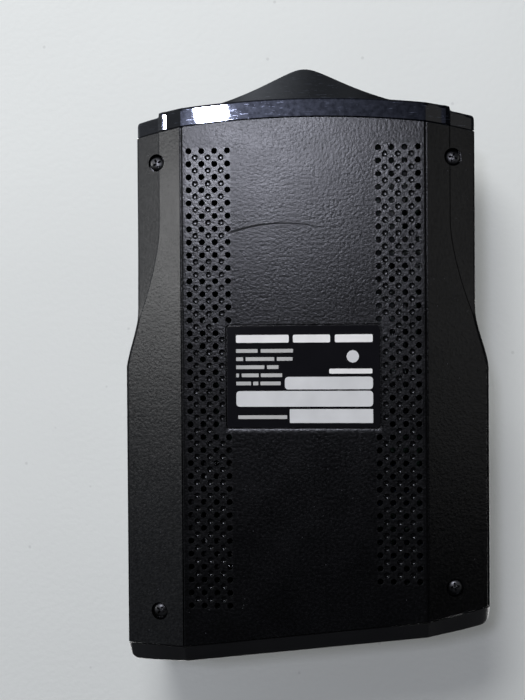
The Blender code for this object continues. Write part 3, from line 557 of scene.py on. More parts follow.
class Grille:
    """One perforated strip: half-pitch square cells, every other one with a hole or a dimple."""

    def __init__(self, bm, side):
        self.bm = bm
        self.side = side
        self.corners = {}
        self.cell = PITCH / 2

    def corner(self, column, row, z):
        key = (column, row, z)
        if key not in self.corners:
            x = self.side * (INNER_COLUMN_X + (column - 0.5) * self.cell)
            y = FIRST_ROW_Y - (row - 0.5) * self.cell
            self.corners[key] = self.bm.verts.new((x, y, z))
        return self.corners[key]

    def square(self, column, row, z):
        """Corners in the order of the ring's quarters: +X+Y, -X+Y, -X-Y, +X-Y."""
        right = column + 1 if self.side > 0 else column
        left = column if self.side > 0 else column + 1
        return [self.corner(right, row, z), self.corner(left, row, z),
                self.corner(left, row + 1, z), self.corner(right, row + 1, z)]

    def plain(self, column, row, z):
        self.bm.faces.new(self.square(column, row, z)).material_index = STRIP_SLOT

    def around(self, column, row, z, ring):
        """Faces between a cell's square edge and the ring of its hole."""
        square = self.square(column, row, z)
        quarter = RING_POINTS // 4
        for index in range(4):
            start = index * quarter
            arc = [ring[(start + step) % RING_POINTS] for step in range(quarter, -1, -1)]
            face = self.bm.faces.new([square[index], square[(index + 1) % 4]] + arc)
            face.material_index = STRIP_SLOT

    def hole(self, column, row, through):
        centre = (self.side * (INNER_COLUMN_X + column * self.cell), FIRST_ROW_Y - row * self.cell)

        def ring(radius, z):
            return add_ring(self.bm, circle(centre, radius, RING_POINTS, pi / 4), z)

        mouth = ring(HOLE_RADIUS + HOLE_RIM, 0.0)
        self.around(column, row, 0.0, mouth)
        if through:
            throat = ring(HOLE_RADIUS, HOLE_RIM)
            end = ring(HOLE_RADIUS - 0.04, WALL)
            strip(self.bm, mouth, throat)
            strip(self.bm, throat, end)
            self.around(column, row, WALL, end)
        else:
            rings = [mouth] + [ring(radius, depth) for radius, depth in DIMPLE]
            faces = [self.bm.faces.new(rings[-1])]
            for first, second in zip(rings, rings[1:]):
                faces += strip(self.bm, first, second)
            for face in faces:
                face.material_index = DIMPLE_SLOT
            self.plain(column, row, WALL)

    def build(self):
        rows = 2 * ROWS[self.side] - 1
        for row in range(rows):
            first = 1 if row in LABEL_CELLS else 0
            for column in range(first, GRILLE_COLUMNS):
                if (column + row) % 2 == 0 and not (column == 1 and row in LABEL_ENDS):
                    self.hole(column, row, through=row % 2 == 0)
                else:
                    self.plain(column, row, 0.0)
                    self.plain(column, row, WALL)


def open_edges(bm, z):
    """Boundary edges in a level plane."""
    return [edge for edge in bm.edges
            if edge.is_boundary and all(abs(vert.co.z - z) < 0.0001 for vert in edge.verts)]


def perforate_panel(obj):
    """Rebuild the flat centre panel of the lower case with its holes, dimples and label recess."""
    bm = bmesh.new()
    bm.from_mesh(obj.data)
    bmesh.ops.scale(bm, vec=(1 / MM,) * 3, verts=bm.verts)
    flat = [face for face in bm.faces for level in (0.0, WALL)
            if all(abs(vert.co.x) < PANEL_HALF - 0.5 and abs(vert.co.z - level) < 0.0001
                   for vert in face.verts)]
    bmesh.ops.delete(bm, geom=flat, context='FACES')
    for side in (1.0, -1.0):
        Grille(bm, side).build()
    width, depth = LABEL_SIZE
    outline = rounded_rectangle(width, depth + LABEL_CHAMFER, LABEL_CORNER,
                                LABEL_CENTRE.xy - Vector((0.0, LABEL_CHAMFER / 2)))
    rings = [add_ring(bm, outline, 0.0)]
    for inset, z in ((0.0, 0.045), (0.10, 0.15), (0.12, LABEL_DEPTH)):
        outline = rounded_rectangle(width - 2 * inset, depth - 2 * inset, LABEL_CORNER - inset,
                                    LABEL_CENTRE.xy)
        rings.append(add_ring(bm, outline, z))
    for first, second in zip(rings, rings[1:]):
        strip(bm, first, second)
    bm.faces.new(rings[-1])
    for z in (0.0, WALL):
        bmesh.ops.triangle_fill(bm, edges=open_edges(bm, z), use_beauty=True)
    bmesh.ops.recalc_face_normals(bm, faces=bm.faces)
    bmesh.ops.scale(bm, vec=(MM,) * 3, verts=bm.verts)
    bm.to_mesh(obj.data)
    bm.free()


def build_lower_case():
    case = finish_mesh("lower_case_shell",
                       build_shell(lower_profile, lower_inner_profile, PANEL_COLUMNS))
    add_bosses(case, lambda x, y: (bottom_z(x, y) + WALL / 2, PARTING_LOW))
    bm = bmesh.new()
    for place in screw_places():
        add_turned(bm, [(0.0, -1.0), (COUNTERBORE, -1.0), (COUNTERBORE, SCREW_SEAT),
                        (SCREW_HOLE, SCREW_SEAT), (SCREW_HOLE, 18.0), (0.0, 18.0)], 32, place)
    cut(case, bm)
    # the jack's bore at +X and the data opening at -X both widen towards the outside
    bm = bmesh.new()
    add_turned(bm, [(0.0, 26.0), (JACK_BORE, 26.0), (JACK_BORE, 33.6), (JACK_MOUTH, 36.0),
                    (0.0, 36.0)], 40)
    bmesh.ops.rotate(bm, matrix=Matrix.Rotation(pi / 2, 3, 'Y'), verts=bm.verts)
    bmesh.ops.translate(bm, vec=(0.0, node_centre("power_jack").y, JACK_Z), verts=bm.verts)
    cut(case, bm)
    bm = bmesh.new()
    centre = (node_centre("data_socket").y, DATA_Z)
    width, height = DATA_SIZE
    rings = []
    for depth, grow in ((26.0, 0.0), (32.6, 0.0), (36.0, DATA_FLARE)):
        outline = rounded_rectangle(width + grow, height + grow, 1.0 + grow / 2, centre)
        rings.append(add_ring(bm, [(-depth, y, z) for y, z in outline]))
    add_stack(bm, rings)
    cut(case, bm)
    perforate_panel(case)
    reshade(case, 28.0)
    return case


def build_upper_case():
    case = finish_mesh("upper_case_shell", build_shell(upper_profile, upper_inner_profile, 2))
    add_bosses(case, lambda x, y: (PARTING_HIGH, top_z(x, y) - WALL / 2))
    bm = bmesh.new()
    openings = [("button_" + name, BUTTON_SIZE, 24.0, 34.0) for name in BUTTON_NAMES]
    for name, (width, depth), low, high in openings + [("bracket_socket", SOCKET_SIZE, 19.0, 33.0)]:
        add_plate(bm, width + 2 * GAP, depth + 2 * GAP, OPENING_CORNER, node_centre(name).xy, low, high)
    for place in screw_places():
        add_turned(bm, [(0.0, 14.0), (SCREW_HOLE, 14.0), (SCREW_HOLE, 19.0), (0.0, 19.0)], 20, place)
    cut(case, bm)
    reshade(case, 28.0)
    return case


# ---- ends of the case

def loft(name, profiles, sharp=30.0):
    """Closed profiles joined in order, with flat ends."""
    bm = bmesh.new()
    add_stack(bm, [add_ring(bm, profile) for profile in profiles])
    return finish_mesh(name, bm, sharp=sharp)


def edge_lift(x, half):
    """Rise of the underside towards the rounded bottom edge of the side wall."""
    into = max(0.0, abs(x) - (half - EDGE_ROUNDING)) / EDGE_ROUNDING
    return EDGE_LIFT * into * into


def symmetric(columns):
    return [-x for x in reversed(columns) if x > 0.0] + columns


def corner_columns(half, radius, inner):
    """X columns out to a side: the given inner ones, then steps round the corner."""
    return inner + [half - radius + radius * sin(step / 6 * pi / 2) for step in range(7)]


def corner_setback(x, half, radius):
    """How far a rounded plan corner falls back."""
    into = max(0.0, abs(x) - (half - radius))
    return radius - sqrt(max(0.0, radius * radius - into * into))


def side_shift(x, z, edge, half):
    """X of a column, moved in with the slanted side wall near the side."""
    share = max(0.0, abs(x) - (half - SIDE_BLEND)) / SIDE_BLEND
    wide = abs(x) - (half - side_x(z, edge)) * share
    return wide if x > 0.0 else -wide


def build_nose_window():
    """Gloss infrared window: a flat band round the nose and the beak in front of it."""
    creases = [PANEL_HALF, LEDGE[0], LEDGE[1], EAR_X]
    inner = sorted([0.6 * step for step in range(39)] + [24.2, 25.4, 29.4, 30.4]
                   + [EAR_X + step for step in (0.12, 0.18, 0.25, 0.6)]
                   + [x + side for x in creases for side in (-CREASE_WIDTH, CREASE_WIDTH)])
    columns = symmetric(corner_columns(NOSE_HALF, NOSE_CORNER, inner))
    profiles = []
    for x in columns:
        edge = nose_edge(x)
        base = edge + GAP
        low = band_z(x, edge) + edge_lift(x, NOSE_HALF)
        high = top_z(x, edge)
        back = corner_setback(x, NOSE_HALF, NOSE_CORNER)
        band = band_edge(x) - back
        beak = max(beak_edge(x) - back, band + 0.1)
        tall = high - low
        outer = rounded([(base, low), (band - 0.5, low), (band, low), (band + 0.06, low + 0.8),
                         (beak, low + 0.27 * tall), (beak - 0.1, low + 0.42 * tall),
                         (band + 0.2, low + 0.76 * tall), (band - 1.6, high - 0.7), (base, high)],
                        (0.1, 0.18, 0.5, 1.2, 1.5, 2.0, 1.0), steps=3)
        lip = base - SEAM_LIP
        inside = [(lip, high - WALL), (band - 3.0, high - WALL - 0.6),
                  (band - 1.5, low + 0.74 * tall), (beak - 2.0, low + 0.42 * tall),
                  (beak - 2.0, low + 0.32 * tall), (band - 1.7, low + 2.9), (lip, low + WALL)]
        if abs(x) > SOLID_SIDE:
            inside = [(lip, z) for _, z in inside]
        inside += [(lip, low + 0.5), (base, low + 0.45)]
        profiles.append([(side_shift(x, z, edge, NOSE_HALF), y, z) for y, z in outer + inside])
    window = loft("nose_window_shell", profiles)
    reshade(window, 30.0)
    return window


def on_display(bm):
    """Stand geometry made in the display's plan (X, Z, depth) upright in the display's frame."""
    bmesh.ops.transform(bm, matrix=DISPLAY_FRAME @ Matrix.Rotation(pi / 2, 4, 'X'), verts=bm.verts)


def build_display_bezel():
    """Charcoal frame that closes the display end."""
    inner = [0.0, 6.0, 12.0, 18.0, 22.6, PANEL_HALF - 0.15, PANEL_HALF + 0.15, 24.2, 27.0, 30.0, 32.0]
    columns = symmetric(corner_columns(DISPLAY_HALF, BEZEL_CORNER, inner))
    profiles = []
    for x in columns:
        edge = display_edge(x)
        base = edge - GAP
        face = edge - BAND_DEPTH + corner_setback(x, DISPLAY_HALF, BEZEL_CORNER)
        low = bottom_z(x, edge) + edge_lift(x, DISPLAY_HALF)
        high = top_z(x, edge)
        chamfer = mix(BEZEL_CHAMFER, SIDE_CHAMFER, ease((abs(x) - PANEL_HALF) / 8.0))
        outer = rounded([(base, low), (face, low + chamfer), (face, high - 1.2), (base, high)],
                        (0.8, 1.6), steps=4)
        inside = [(base, high - WALL), (face + 2.0, high - 3.2),
                  (face + 2.0, low + BEZEL_CHAMFER + 1.2), (base, low + WALL)]
        if abs(x) > SOLID_SIDE:
            inside = [(base, z) for _, z in inside]
        profiles.append([(side_shift(x, z, edge, DISPLAY_HALF), y, z) for y, z in outer + inside])
    bezel = loft("display_bezel_shell", profiles)
    bm = bmesh.new()
    width, height, radius = WINDOW_OPENING
    add_levels(bm, WINDOW_CENTRE, [(width + grow, height + grow, radius + grow / 2, out)
                                   for out, grow in ((-2.0, 0.0), (3.2, 0.0), (4.4, WINDOW_FLARE))])
    add_turned(bm, [(0.0, -2.0), (SENSOR_OPENING, -2.0), (SENSOR_OPENING, 3.3), (SENSOR_MOUTH, 4.4),
                    (0.0, 4.4)], 40, (SENSOR_X, WINDOW_CENTRE[1]))
    on_display(bm)
    cut(bezel, bm)
    reshade(bezel, 28.0)
    return bezel


def build_display_window():
    """Smoked window: a flange behind the bezel and a pane that fills its opening."""
    bm = bmesh.new()
    add_levels(bm, WINDOW_CENTRE, [(38.4, 17.4, 0.6, 0.6), (38.4, 17.4, 0.6, 1.35),
                                   (35.4, 14.4, 1.2, 1.35), (35.4, 14.4, 1.2, 3.1),
                                   (35.1, 14.1, 1.05, 3.32), (34.8, 13.8, 0.9, 3.4)])
    on_display(bm)
    return finish_mesh("display_window_glass", bm)


def build_sensor_window():
    bm = bmesh.new()
    dome = [(2.2 * cos(step / 6 * pi / 2), 2.9 + 0.45 * sin(step / 6 * pi / 2)) for step in range(7)]
    profile = [(0.0, 0.65), (3.3, 0.65), (3.3, 1.35), (2.2, 1.35)] + dome[:-1] + [(0.0, dome[-1][1])]
    add_turned(bm, profile, 40, (SENSOR_X, WINDOW_CENTRE[1]))
    on_display(bm)
    return finish_mesh("sensor_window_dome", bm)


# ---- label, screws, buttons

def build_label():
    """Rating label: a plain film with blank light boxes and plain bars in place of print."""
    low, high = node_box("rating_label")
    top = -low.z
    bm = bmesh.new()
    add_plate(bm, high.x - low.x, high.y - low.y, FILM_CORNER, LABEL_CENTRE.xy, -high.z, top, soft=0.04)
    for left, right, down, tall, slot, radius in PRINT:
        middle = (high.x - (left + right) / 2, high.y - down)
        add_plate(bm, right - left, tall, radius, middle, top - 0.01, top + INK_HEIGHT, slot=slot, steps=3)
    bmesh.ops.scale(bm, vec=(1.0, 1.0, -1.0), verts=bm.verts)
    return finish_mesh("rating_label_film", bm)


def screw_mesh():
    """Cross-head screw, head down, with its head's outer face at the height of the CAD node's."""
    low, high = node_box(SCREWS[0])
    base = low.z
    dome = [(HEAD_RADIUS * sin(step / 6 * pi / 2) ** 0.9, base + 0.42 * (1 - cos(step / 6 * pi / 2)))
            for step in range(1, 7)]
    bm = bmesh.new()
    add_turned(bm, [(0.0, base)] + dome
               + [(HEAD_RADIUS, base + 1.1), (HEAD_RADIUS - 0.1, base + 1.2),
                  (SHAFT_RADIUS, base + 1.2), (SHAFT_RADIUS, high.z - 1.0), (0.0, high.z)], 40)
    screw = finish_mesh("screw", bm)
    for turn in (0.0, pi / 2):
        bm = bmesh.new()
        add_levels(bm, (0.0, 0.0), [(1.72 * scale, 0.40 * mix(1.0, scale, 0.4), 0.08, base + z)
                                    for scale, z in ((1.12, -0.3), (1.0, 0.05), (0.45, 0.95))], steps=2)
        bmesh.ops.rotate(bm, matrix=Matrix.Rotation(turn, 3, 'Z'), verts=bm.verts)
        cut(screw, bm)
    reshade(screw)
    return screw


def build_screws():
    """Screws with their crosses turned to different angles."""
    pattern = screw_mesh()
    screws = []
    for name in SCREWS:
        mesh = pattern.data.copy()
        centre = node_centre(name)
        mesh.transform(Matrix.Rotation(radians(SCREW_TURNS[name]), 4, 'Z'))
        mesh.transform(Matrix.Translation((centre.x * MM, centre.y * MM, 0.0)))
        screw = add_object(name + "_detail", mesh)
        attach(screw, "housing")
        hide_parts(name)
        screws.append(screw)
    bpy.data.objects.remove(pattern, do_unlink=True)
    return screws


def build_button(name):
    """Rubber cap with a dished top, over the flange and stem of the CAD node."""
    low, high = node_box("button_" + name)
    centre = (low + high) / 2
    width, depth = BUTTON_SIZE
    cover_bottom = top_z(abs(centre.x) + width / 2, centre.y) - WALL - 0.25
    stem_top = cover_bottom - 1.3
    flange_top = cover_bottom - GAP
    top = high.z
    bm = bmesh.new()
    add_turned(bm, [(0.0, low.z), (1.6, low.z), (1.6, stem_top + 0.4), (0.0, stem_top + 0.4)], 20,
               centre.xy)
    add_levels(bm, centre.xy, [(width + grow, depth + grow, radius, z) for grow, radius, z in (
        (2.0, 0.8, stem_top), (2.0, 0.8, flange_top), (0.0, 1.0, flange_top), (0.0, 1.0, top - 0.7),
        (-0.16, 0.95, top - 0.3), (-0.5, 0.8, top - 0.06), (-1.0, 0.7, top),
        (-1.8, 0.6, top - 0.06), (-3.0, 0.4, top - 0.14))])
    return finish_mesh("button_%s_cap" % name, bm)


def build_gasket():
    """Foam ring under the speaker, with soft rounded edges."""
    low, high = node_box("speaker_gasket")
    centre = (low + high) / 2
    outer = high.x - centre.x
    bm = bmesh.new()
    section = rounded_rectangle(1.6, high.z - low.z, 0.3, (outer - 0.8, centre.z), steps=3)
    rings = []
    sides = 64
    for step in range(sides):
        turn = 2 * pi * step / sides
        rings.append([bm.verts.new((centre.x + radius * cos(turn), centre.y + radius * sin(turn), z))
                      for radius, z in section])
    for index, ring in enumerate(rings):
        strip(bm, ring, rings[(index + 1) % sides])
    return finish_mesh("speaker_gasket_foam", bm)


# ---- materials

METAL_ROUGHNESS = {"cast_zinc": 0.42, "tinned_steel": 0.28, "patch_silver": 0.22, "screw_steel": 0.33}
GLOSSY = ("nose_window", "smoked_window", "sensor_window", "lens_acrylic", "display_glass",
          "capacitor_sleeve", "wire_red", "wire_black")


class Finish:
    """A procedural material, with short calls for the shader nodes it needs."""

    def __init__(self, name):
        self.material = bpy.data.materials.new(name)
        self.material.use_nodes = True
        self.tree = self.material.node_tree
        self.shader = self.tree.nodes["Principled BSDF"]
        self.place = self.node("TexCoord").outputs["Object"]

    def node(self, kind, settings=None, **inputs):
        made = self.tree.nodes.new("ShaderNode" + kind)
        for key, value in (settings or {}).items():
            setattr(made, key, value)
        for key, value in inputs.items():
            self.feed(made.inputs[key.replace("_", " ")], value)
        return made

    def feed(self, socket, value):
        if isinstance(value, bpy.types.NodeSocket):
            self.tree.links.new(value, socket)
        else:
            socket.default_value = value

    def set(self, **inputs):
        for key, value in inputs.items():
            self.feed(self.shader.inputs[key.replace("_", " ")], value)

    def stretched(self, scale, turn=0.0):
        """Object coordinates scaled and turned about Z."""
        mapping = self.node("Mapping", Vector=self.place, Scale=scale, Rotation=(0.0, 0.0, turn))
        return mapping.outputs["Vector"]

    def noise(self, size, detail=3.0, roughness=0.5, place=None):
        """Noise whose features are about size millimetres across."""
        made = self.node("TexNoise", Vector=place or self.place, Scale=1.0 / (size * MM),
                         Detail=detail, Roughness=roughness)
        return made.outputs["Fac"]

    def cells(self, size):
        """Distance to the nearest of points about size millimetres apart."""
        made = self.node("TexVoronoi", Vector=self.place, Scale=1.0 / (size * MM))
        return made.outputs["Distance"]

    def span(self, value, low, high, out_low=0.0, out_high=1.0):
        """Value from low to high becomes out_low to out_high, clamped."""
        made = self.node("MapRange", Value=value, From_Min=low, From_Max=high, To_Min=out_low,
                         To_Max=out_high)
        return made.outputs["Result"]

    def math(self, operation, first, second=0.0):
        made = self.tree.nodes.new("ShaderNodeMath")
        made.operation = operation
        self.feed(made.inputs[0], first)
        self.feed(made.inputs[1], second)
        return made.outputs[0]

    def blend(self, share, first, second):
        """Colour mix."""
        made = self.tree.nodes.new("ShaderNodeMix")
        made.data_type = 'RGBA'
        self.feed(made.inputs[0], share)
        self.feed(made.inputs[6], first)
        self.feed(made.inputs[7], second)
        return made.outputs[2]

    def bump(self, height, distance):
        """Bump whose full height is distance millimetres."""
        made = self.node("Bump", Height=height, Distance=distance * MM, Strength=1.0)
        return made.outputs["Normal"]

    def mottled(self, mask, base, darker, lighter):
        """Colour that wanders round a base colour as a noise does."""
        return self.blend(self.span(mask, 0.3, 0.7), scale_colour(base, darker),
                          scale_colour(base, lighter))


def colour(red, green, blue):
    return (red, green, blue, 1.0)


def scale_colour(base, share):
    return colour(*(channel * share for channel in base[:3]))


def moulded_plastic(name, base, roughness, grain=0.35, height=0.012, dust=0.0):
    """Moulded plastic: fine grain, uneven sheen and a little dust."""
    made = Finish(name)
    fine = made.noise(grain, 2.0)
    broad = made.noise(6.0, 3.0)
    tone = made.mottled(broad, base, 0.93, 1.07)
    sheen = made.math('ADD', made.span(broad, 0.3, 0.7, -0.012, 0.012),
                      made.span(fine, 0.3, 0.7, roughness - 0.04, roughness + 0.04))
    if dust:
        specks = made.span(made.cells(1.6), 0.035, 0.05, dust, 0.0)
        tone = made.blend(specks, tone, colour(0.35, 0.35, 0.36))
    made.set(Base_Color=tone, Roughness=sheen, Normal=made.bump(fine, height))
    return made.material


def lower_case_finish(name, low, high, grain_height, specular):
    """Satin black underside, its roughness from low to high: fine grain, a rubbed arc, specks."""
    made = Finish(name)
    grain = made.noise(0.55, 2.0, 0.55)
    peel = made.noise(0.22, 2.0, 0.5)
    broad = made.noise(9.0, 3.0)
    base = colour(0.0032, 0.0032, 0.0036)
    tone = made.mottled(broad, base, 0.8, 1.2)
    specks = made.span(made.cells(2.3), 0.03, 0.045, 0.5, 0.0)
    tone = made.blend(specks, tone, colour(0.30, 0.30, 0.32))
    sheen = made.math('ADD', made.span(grain, 0.3, 0.7, low, high), made.span(broad, 0.3, 0.7, -0.02, 0.02))
    # the rubbed line: part of a circle, fading towards its ends
    parts = made.node("SeparateXYZ", Vector=made.place)
    across = made.math('SUBTRACT', parts.outputs["X"], SCUFF_CENTRE[0] * MM)
    along = made.math('SUBTRACT', parts.outputs["Y"], SCUFF_CENTRE[1] * MM)
    distance = made.math('SQRT', made.math('ADD', made.math('MULTIPLY', across, across),
                                           made.math('MULTIPLY', along, along)))
    off = made.math('ABSOLUTE', made.math('SUBTRACT', distance, SCUFF_RADIUS * MM))
    width = made.span(across, -9.0 * MM, 11.0 * MM, 0.06 * MM, 0.34 * MM)
    line = made.math('SUBTRACT', 1.0, made.math('DIVIDE', off, width))
    line = made.math('MAXIMUM', line, 0.0)
    reach = made.math('MULTIPLY', made.span(across, -11.0 * MM, -4.0 * MM),
                      made.span(across, 11.0 * MM, 9.5 * MM))
    upper = made.span(along, 0.0, 1.0 * MM)
    line = made.math('MULTIPLY', made.math('MULTIPLY', line, reach), upper)
    sheen = made.math('ADD', sheen, made.math('MULTIPLY', line, 0.35))
    level = made.math('ADD', grain, made.math('MULTIPLY', peel, 0.35))
    calm = made.span(line, 0.0, 1.0, 1.0, 0.2)
    normal = made.bump(made.math('MULTIPLY', level, calm), grain_height)
    shine = made.span(made.math('ADD', grain, made.math('MULTIPLY', peel, 0.6)), 0.55, 1.05,
                      specular * 0.72, specular * 1.28)
    made.set(Base_Color=tone, Roughness=sheen, Normal=normal, Specular_IOR_Level=shine)
    return made.material


def gloss_finish(name, base, roughness=0.05, wear=1.0):
    """Polished plastic: a clear coat over a faint haze, with dust and fine scratches."""
    made = Finish(name)
    scratches = None
    for turn, size in ((0.25, 3.1), (1.1, 3.7), (2.3, 4.6)):
        streak = made.noise(size, 1.0, place=made.stretched((1.0, 26.0, 1.0), turn))
        mask = made.span(streak, 0.71, 0.75)
        scratches = mask if scratches is None else made.math('MAXIMUM', scratches, mask)
    dust = made.span(made.cells(0.8), 0.05, 0.10, 1.0, 0.0)
    patches = made.span(made.noise(1.1, 4.0, 0.7), 0.35, 0.70)
    marks = made.math('MULTIPLY', made.math('MAXIMUM', scratches, dust), patches)
    tone = made.blend(made.math('MULTIPLY', marks, 0.65 * wear), base, colour(0.35, 0.37, 0.42))
    haze = made.span(patches, 0.0, 1.0, 0.10, 0.10 + 0.16 * wear)
    film = made.math('ADD', roughness, made.math('MULTIPLY', marks, 0.25 * wear))
    wave = made.bump(made.noise(4.0, 2.0), 0.008)
    made.set(Base_Color=tone, Roughness=0.26, Specular_IOR_Level=haze, Normal=wave)
    made.set(Coat_Weight=1.0, Coat_Roughness=film, Coat_IOR=1.5, Coat_Normal=wave)
    return made.material


def metal_finish(name, base, roughness, grain=0.12):
    """Worn metal: uneven colour and sheen over a fine grain."""
    made = Finish(name)
    fine = made.noise(grain, 3.0)
    broad = made.noise(1.2, 3.0)
    rough = made.span(broad, 0.3, 0.7, roughness - 0.08, roughness + 0.12)
    made.set(Base_Color=made.mottled(broad, base, 0.7, 1.15), Metallic=1.0, Roughness=rough,
             Normal=made.bump(fine, 0.006))
    return made.material


def board_finish(name, base):
    """Circuit board: solder mask over faint tracks, and bright pads."""
    made = Finish(name)
    tracks = made.node("TexBrick", Vector=made.stretched((1.0, 1.0, 1.0)), Scale=700.0,
                       Mortar_Size=0.03).outputs["Fac"]
    pads = made.span(made.cells(2.6), 0.10, 0.13, 1.0, 0.0)
    tone = made.blend(made.math('MULTIPLY', tracks, 0.5), base, scale_colour(base, 1.8))
    tone = made.blend(pads, tone, colour(0.62, 0.55, 0.36))
    made.set(Base_Color=tone, Roughness=made.span(pads, 0.0, 1.0, 0.35, 0.25), Metallic=pads)
    made.set(Normal=made.bump(made.math('MAXIMUM', tracks, pads), 0.03))
    return made.material


def fibre_finish(name, base):
    """Foam or pressed paper."""
    made = Finish(name)
    fibres = made.noise(0.5, 5.0, 0.7)
    made.set(Base_Color=made.mottled(fibres, base, 0.6, 1.4), Roughness=0.9,
             Normal=made.bump(made.math('ADD', made.cells(0.25), fibres), 0.05))
    return made.material


def node_finishes():
    """Material for every material slot of the record."""
    colours = {entry["slot"]: entry["base_color"] for entry in frame["record"]["materials"]}
    made = {}
    for slot, base in colours.items():
        base = colour(*base[:3])
        if slot in METAL_ROUGHNESS:
            made[slot] = metal_finish(slot + "_metal", base, METAL_ROUGHNESS[slot])
        elif slot == "circuit_board":
            made[slot] = board_finish("board_mask", base)
        elif slot in ("foam", "cone_paper"):
            made[slot] = fibre_finish(slot + "_fibre", base)
        elif slot in GLOSSY:
            made[slot] = gloss_finish(slot + "_gloss", base, wear=0.3)
        else:
            made[slot] = moulded_plastic(slot + "_moulded", base, 0.5)
    return made


def give(obj, *materials):
    """Put materials in an object's slots, in order."""
    slots = obj.data.materials
    for index, material in enumerate(materials):
        if index < len(slots):
            slots[index] = material
        else:
            slots.append(material)


# ---- stage, lights, camera

def add_sheet(name, z, size, facing_up, base, mottling):
    """Level square studio surface that shows only from its front."""
    bm = bmesh.new()
    bmesh.ops.create_grid(bm, x_segments=1, y_segments=1, size=size / 2)
    if not facing_up:
        bmesh.ops.reverse_faces(bm, faces=bm.faces)
    mesh = bpy.data.meshes.new(name)
    bm.to_mesh(mesh)
    bm.free()
    obj = add_object(name, mesh)
    obj.location.z = z * MM
    obj.visible_diffuse = False
    obj.visible_glossy = False
    obj.visible_transmission = False
    obj.visible_shadow = False
    made = Finish(name + "_paint")
    specks = made.span(made.cells(7.0), 0.035, 0.06, 0.35, 0.0)
    clouds = made.span(made.noise(60.0, 2.0), 0.3, 0.7)
    tone = made.blend(clouds, scale_colour(base, 1.0 - mottling), base)
    tone = made.blend(specks, tone, scale_colour(base, 0.6))
    made.set(Base_Color=tone, Roughness=0.75, Specular_IOR_Level=0.2,
             Normal=made.bump(made.noise(1.2, 3.0), 0.05))
    clear = made.node("BsdfTransparent")
    choose = made.tree.nodes.new("ShaderNodeMixShader")
    made.feed(choose.inputs[0], made.node("NewGeometry").outputs["Backfacing"])
    made.feed(choose.inputs[1], made.shader.outputs[0])
    made.feed(choose.inputs[2], clear.outputs[0])
    made.feed(made.tree.nodes["Material Output"].inputs["Surface"], choose.outputs[0])
    give(obj, made.material)
    return obj


def add_light(name, kind, power, place, target, state, objects):
    """Lamp that looks from a place to a target and lights only some objects, or all but those."""
    light = bpy.data.lights.new(name, kind)
    light.energy = power
    lamp = add_object(name, light)
    lamp.location = Vector(place) * MM
    lamp.rotation_mode = 'QUATERNION'
    lamp.rotation_quaternion = (Vector(target) - Vector(place)).to_track_quat('-Z', 'Y')
    group = bpy.data.collections.new(name + "_receivers")
    for obj in objects:
        group.objects.link(obj)
    for member in group.collection_objects:
        member.light_linking.link_state = state
    lamp.light_linking.receiver_collection = group
    return light


def build_world():
    """Dim room that brightens softly towards one side, behind a pale backdrop."""
    world = bpy.data.worlds.new("studio")
    world.use_nodes = True
    tree = world.node_tree
    background = tree.nodes["Background"]
    background.inputs["Color"].default_value = colour(0.84, 0.90, 1.0)
    towards = tree.nodes.new("ShaderNodeVectorMath")
    towards.operation = 'DOT_PRODUCT'
    towards.inputs[1].default_value = BRIGHT_SIDE
    direction = tree.nodes.new("ShaderNodeTexCoord").outputs["Generated"]
    tree.links.new(direction, towards.inputs[0])
    room = tree.nodes.new("ShaderNodeMapRange")
    room.interpolation_type = 'SMOOTHSTEP'
    room.inputs["From Min"].default_value = 0.2
    room.inputs["To Min"].default_value, room.inputs["To Max"].default_value = ROOM_LIGHT
    tree.links.new(towards.outputs["Value"], room.inputs["Value"])
    backdrop = tree.nodes.new("ShaderNodeMapRange")
    backdrop.inputs["To Max"].default_value = BACKDROP
    tree.links.new(tree.nodes.new("ShaderNodeLightPath").outputs["Is Camera Ray"],
                   backdrop.inputs["Value"])
    tree.links.new(room.outputs["Result"], backdrop.inputs["To Min"])
    tree.links.new(backdrop.outputs["Result"], background.inputs["Strength"])
    bpy.context.scene.world = world


def build_lights(floor, table, nose, label):
    """Lamps below the object for its underside, lamps above it, and lamps for the two sheets."""
    for name, place, aim, size, power, state, objects in (
            ("panel_lamp", (120, 222, -992), 0, 100.0, 1.45, 'EXCLUDE', [nose, label]),
            ("nose_lamp", (154, 217, -992), 0, 31.0, 2.0, 'INCLUDE', [nose]),
            ("label_lamp", (300, 500, -800), 0, 300.0, 8.5, 'INCLUDE', [label]),
            ("table_key", (90, 380, -470), 30, 260.0, 2.1, 'INCLUDE', [table]),
            ("table_fill", (300, 400, -350), 30, 200.0, 1.65, 'INCLUDE', [table]),
            ("left_lamp", (800, 110, -590), 0, 230.0, 0.70, 'EXCLUDE', [table, nose]),
            ("ear_lamp", (860, 120, -370), 0, 230.0, 0.16, 'EXCLUDE', [table, nose]),
            ("right_lamp", (-760, 90, -560), 0, 460.0, 0.18, 'EXCLUDE', [table]),
            ("key_above", (300, -420, 620), 12, 420.0, 5.0, 'EXCLUDE', [floor]),
            ("fill_above", (-520, -180, 420), 12, 500.0, 3.5, 'EXCLUDE', [floor]),
            ("back_above", (60, -60, 760), 12, 300.0, 3.0, 'EXCLUDE', [floor])):
        light = add_light(name, 'AREA', power, place, (0, 0, aim), state, objects)
        light.shape = 'DISK'
        light.size = size * MM
        light.color = LAMP_TINTS.get(name, (1.0, 1.0, 1.0))
        light.use_shadow = name != "table_fill"
    sky = add_light("floor_sky", 'SUN', FLOOR_LIGHT, SKY_PLACE, (0, 0, 0), 'INCLUDE', [floor])
    sky.angle = radians(80.0)


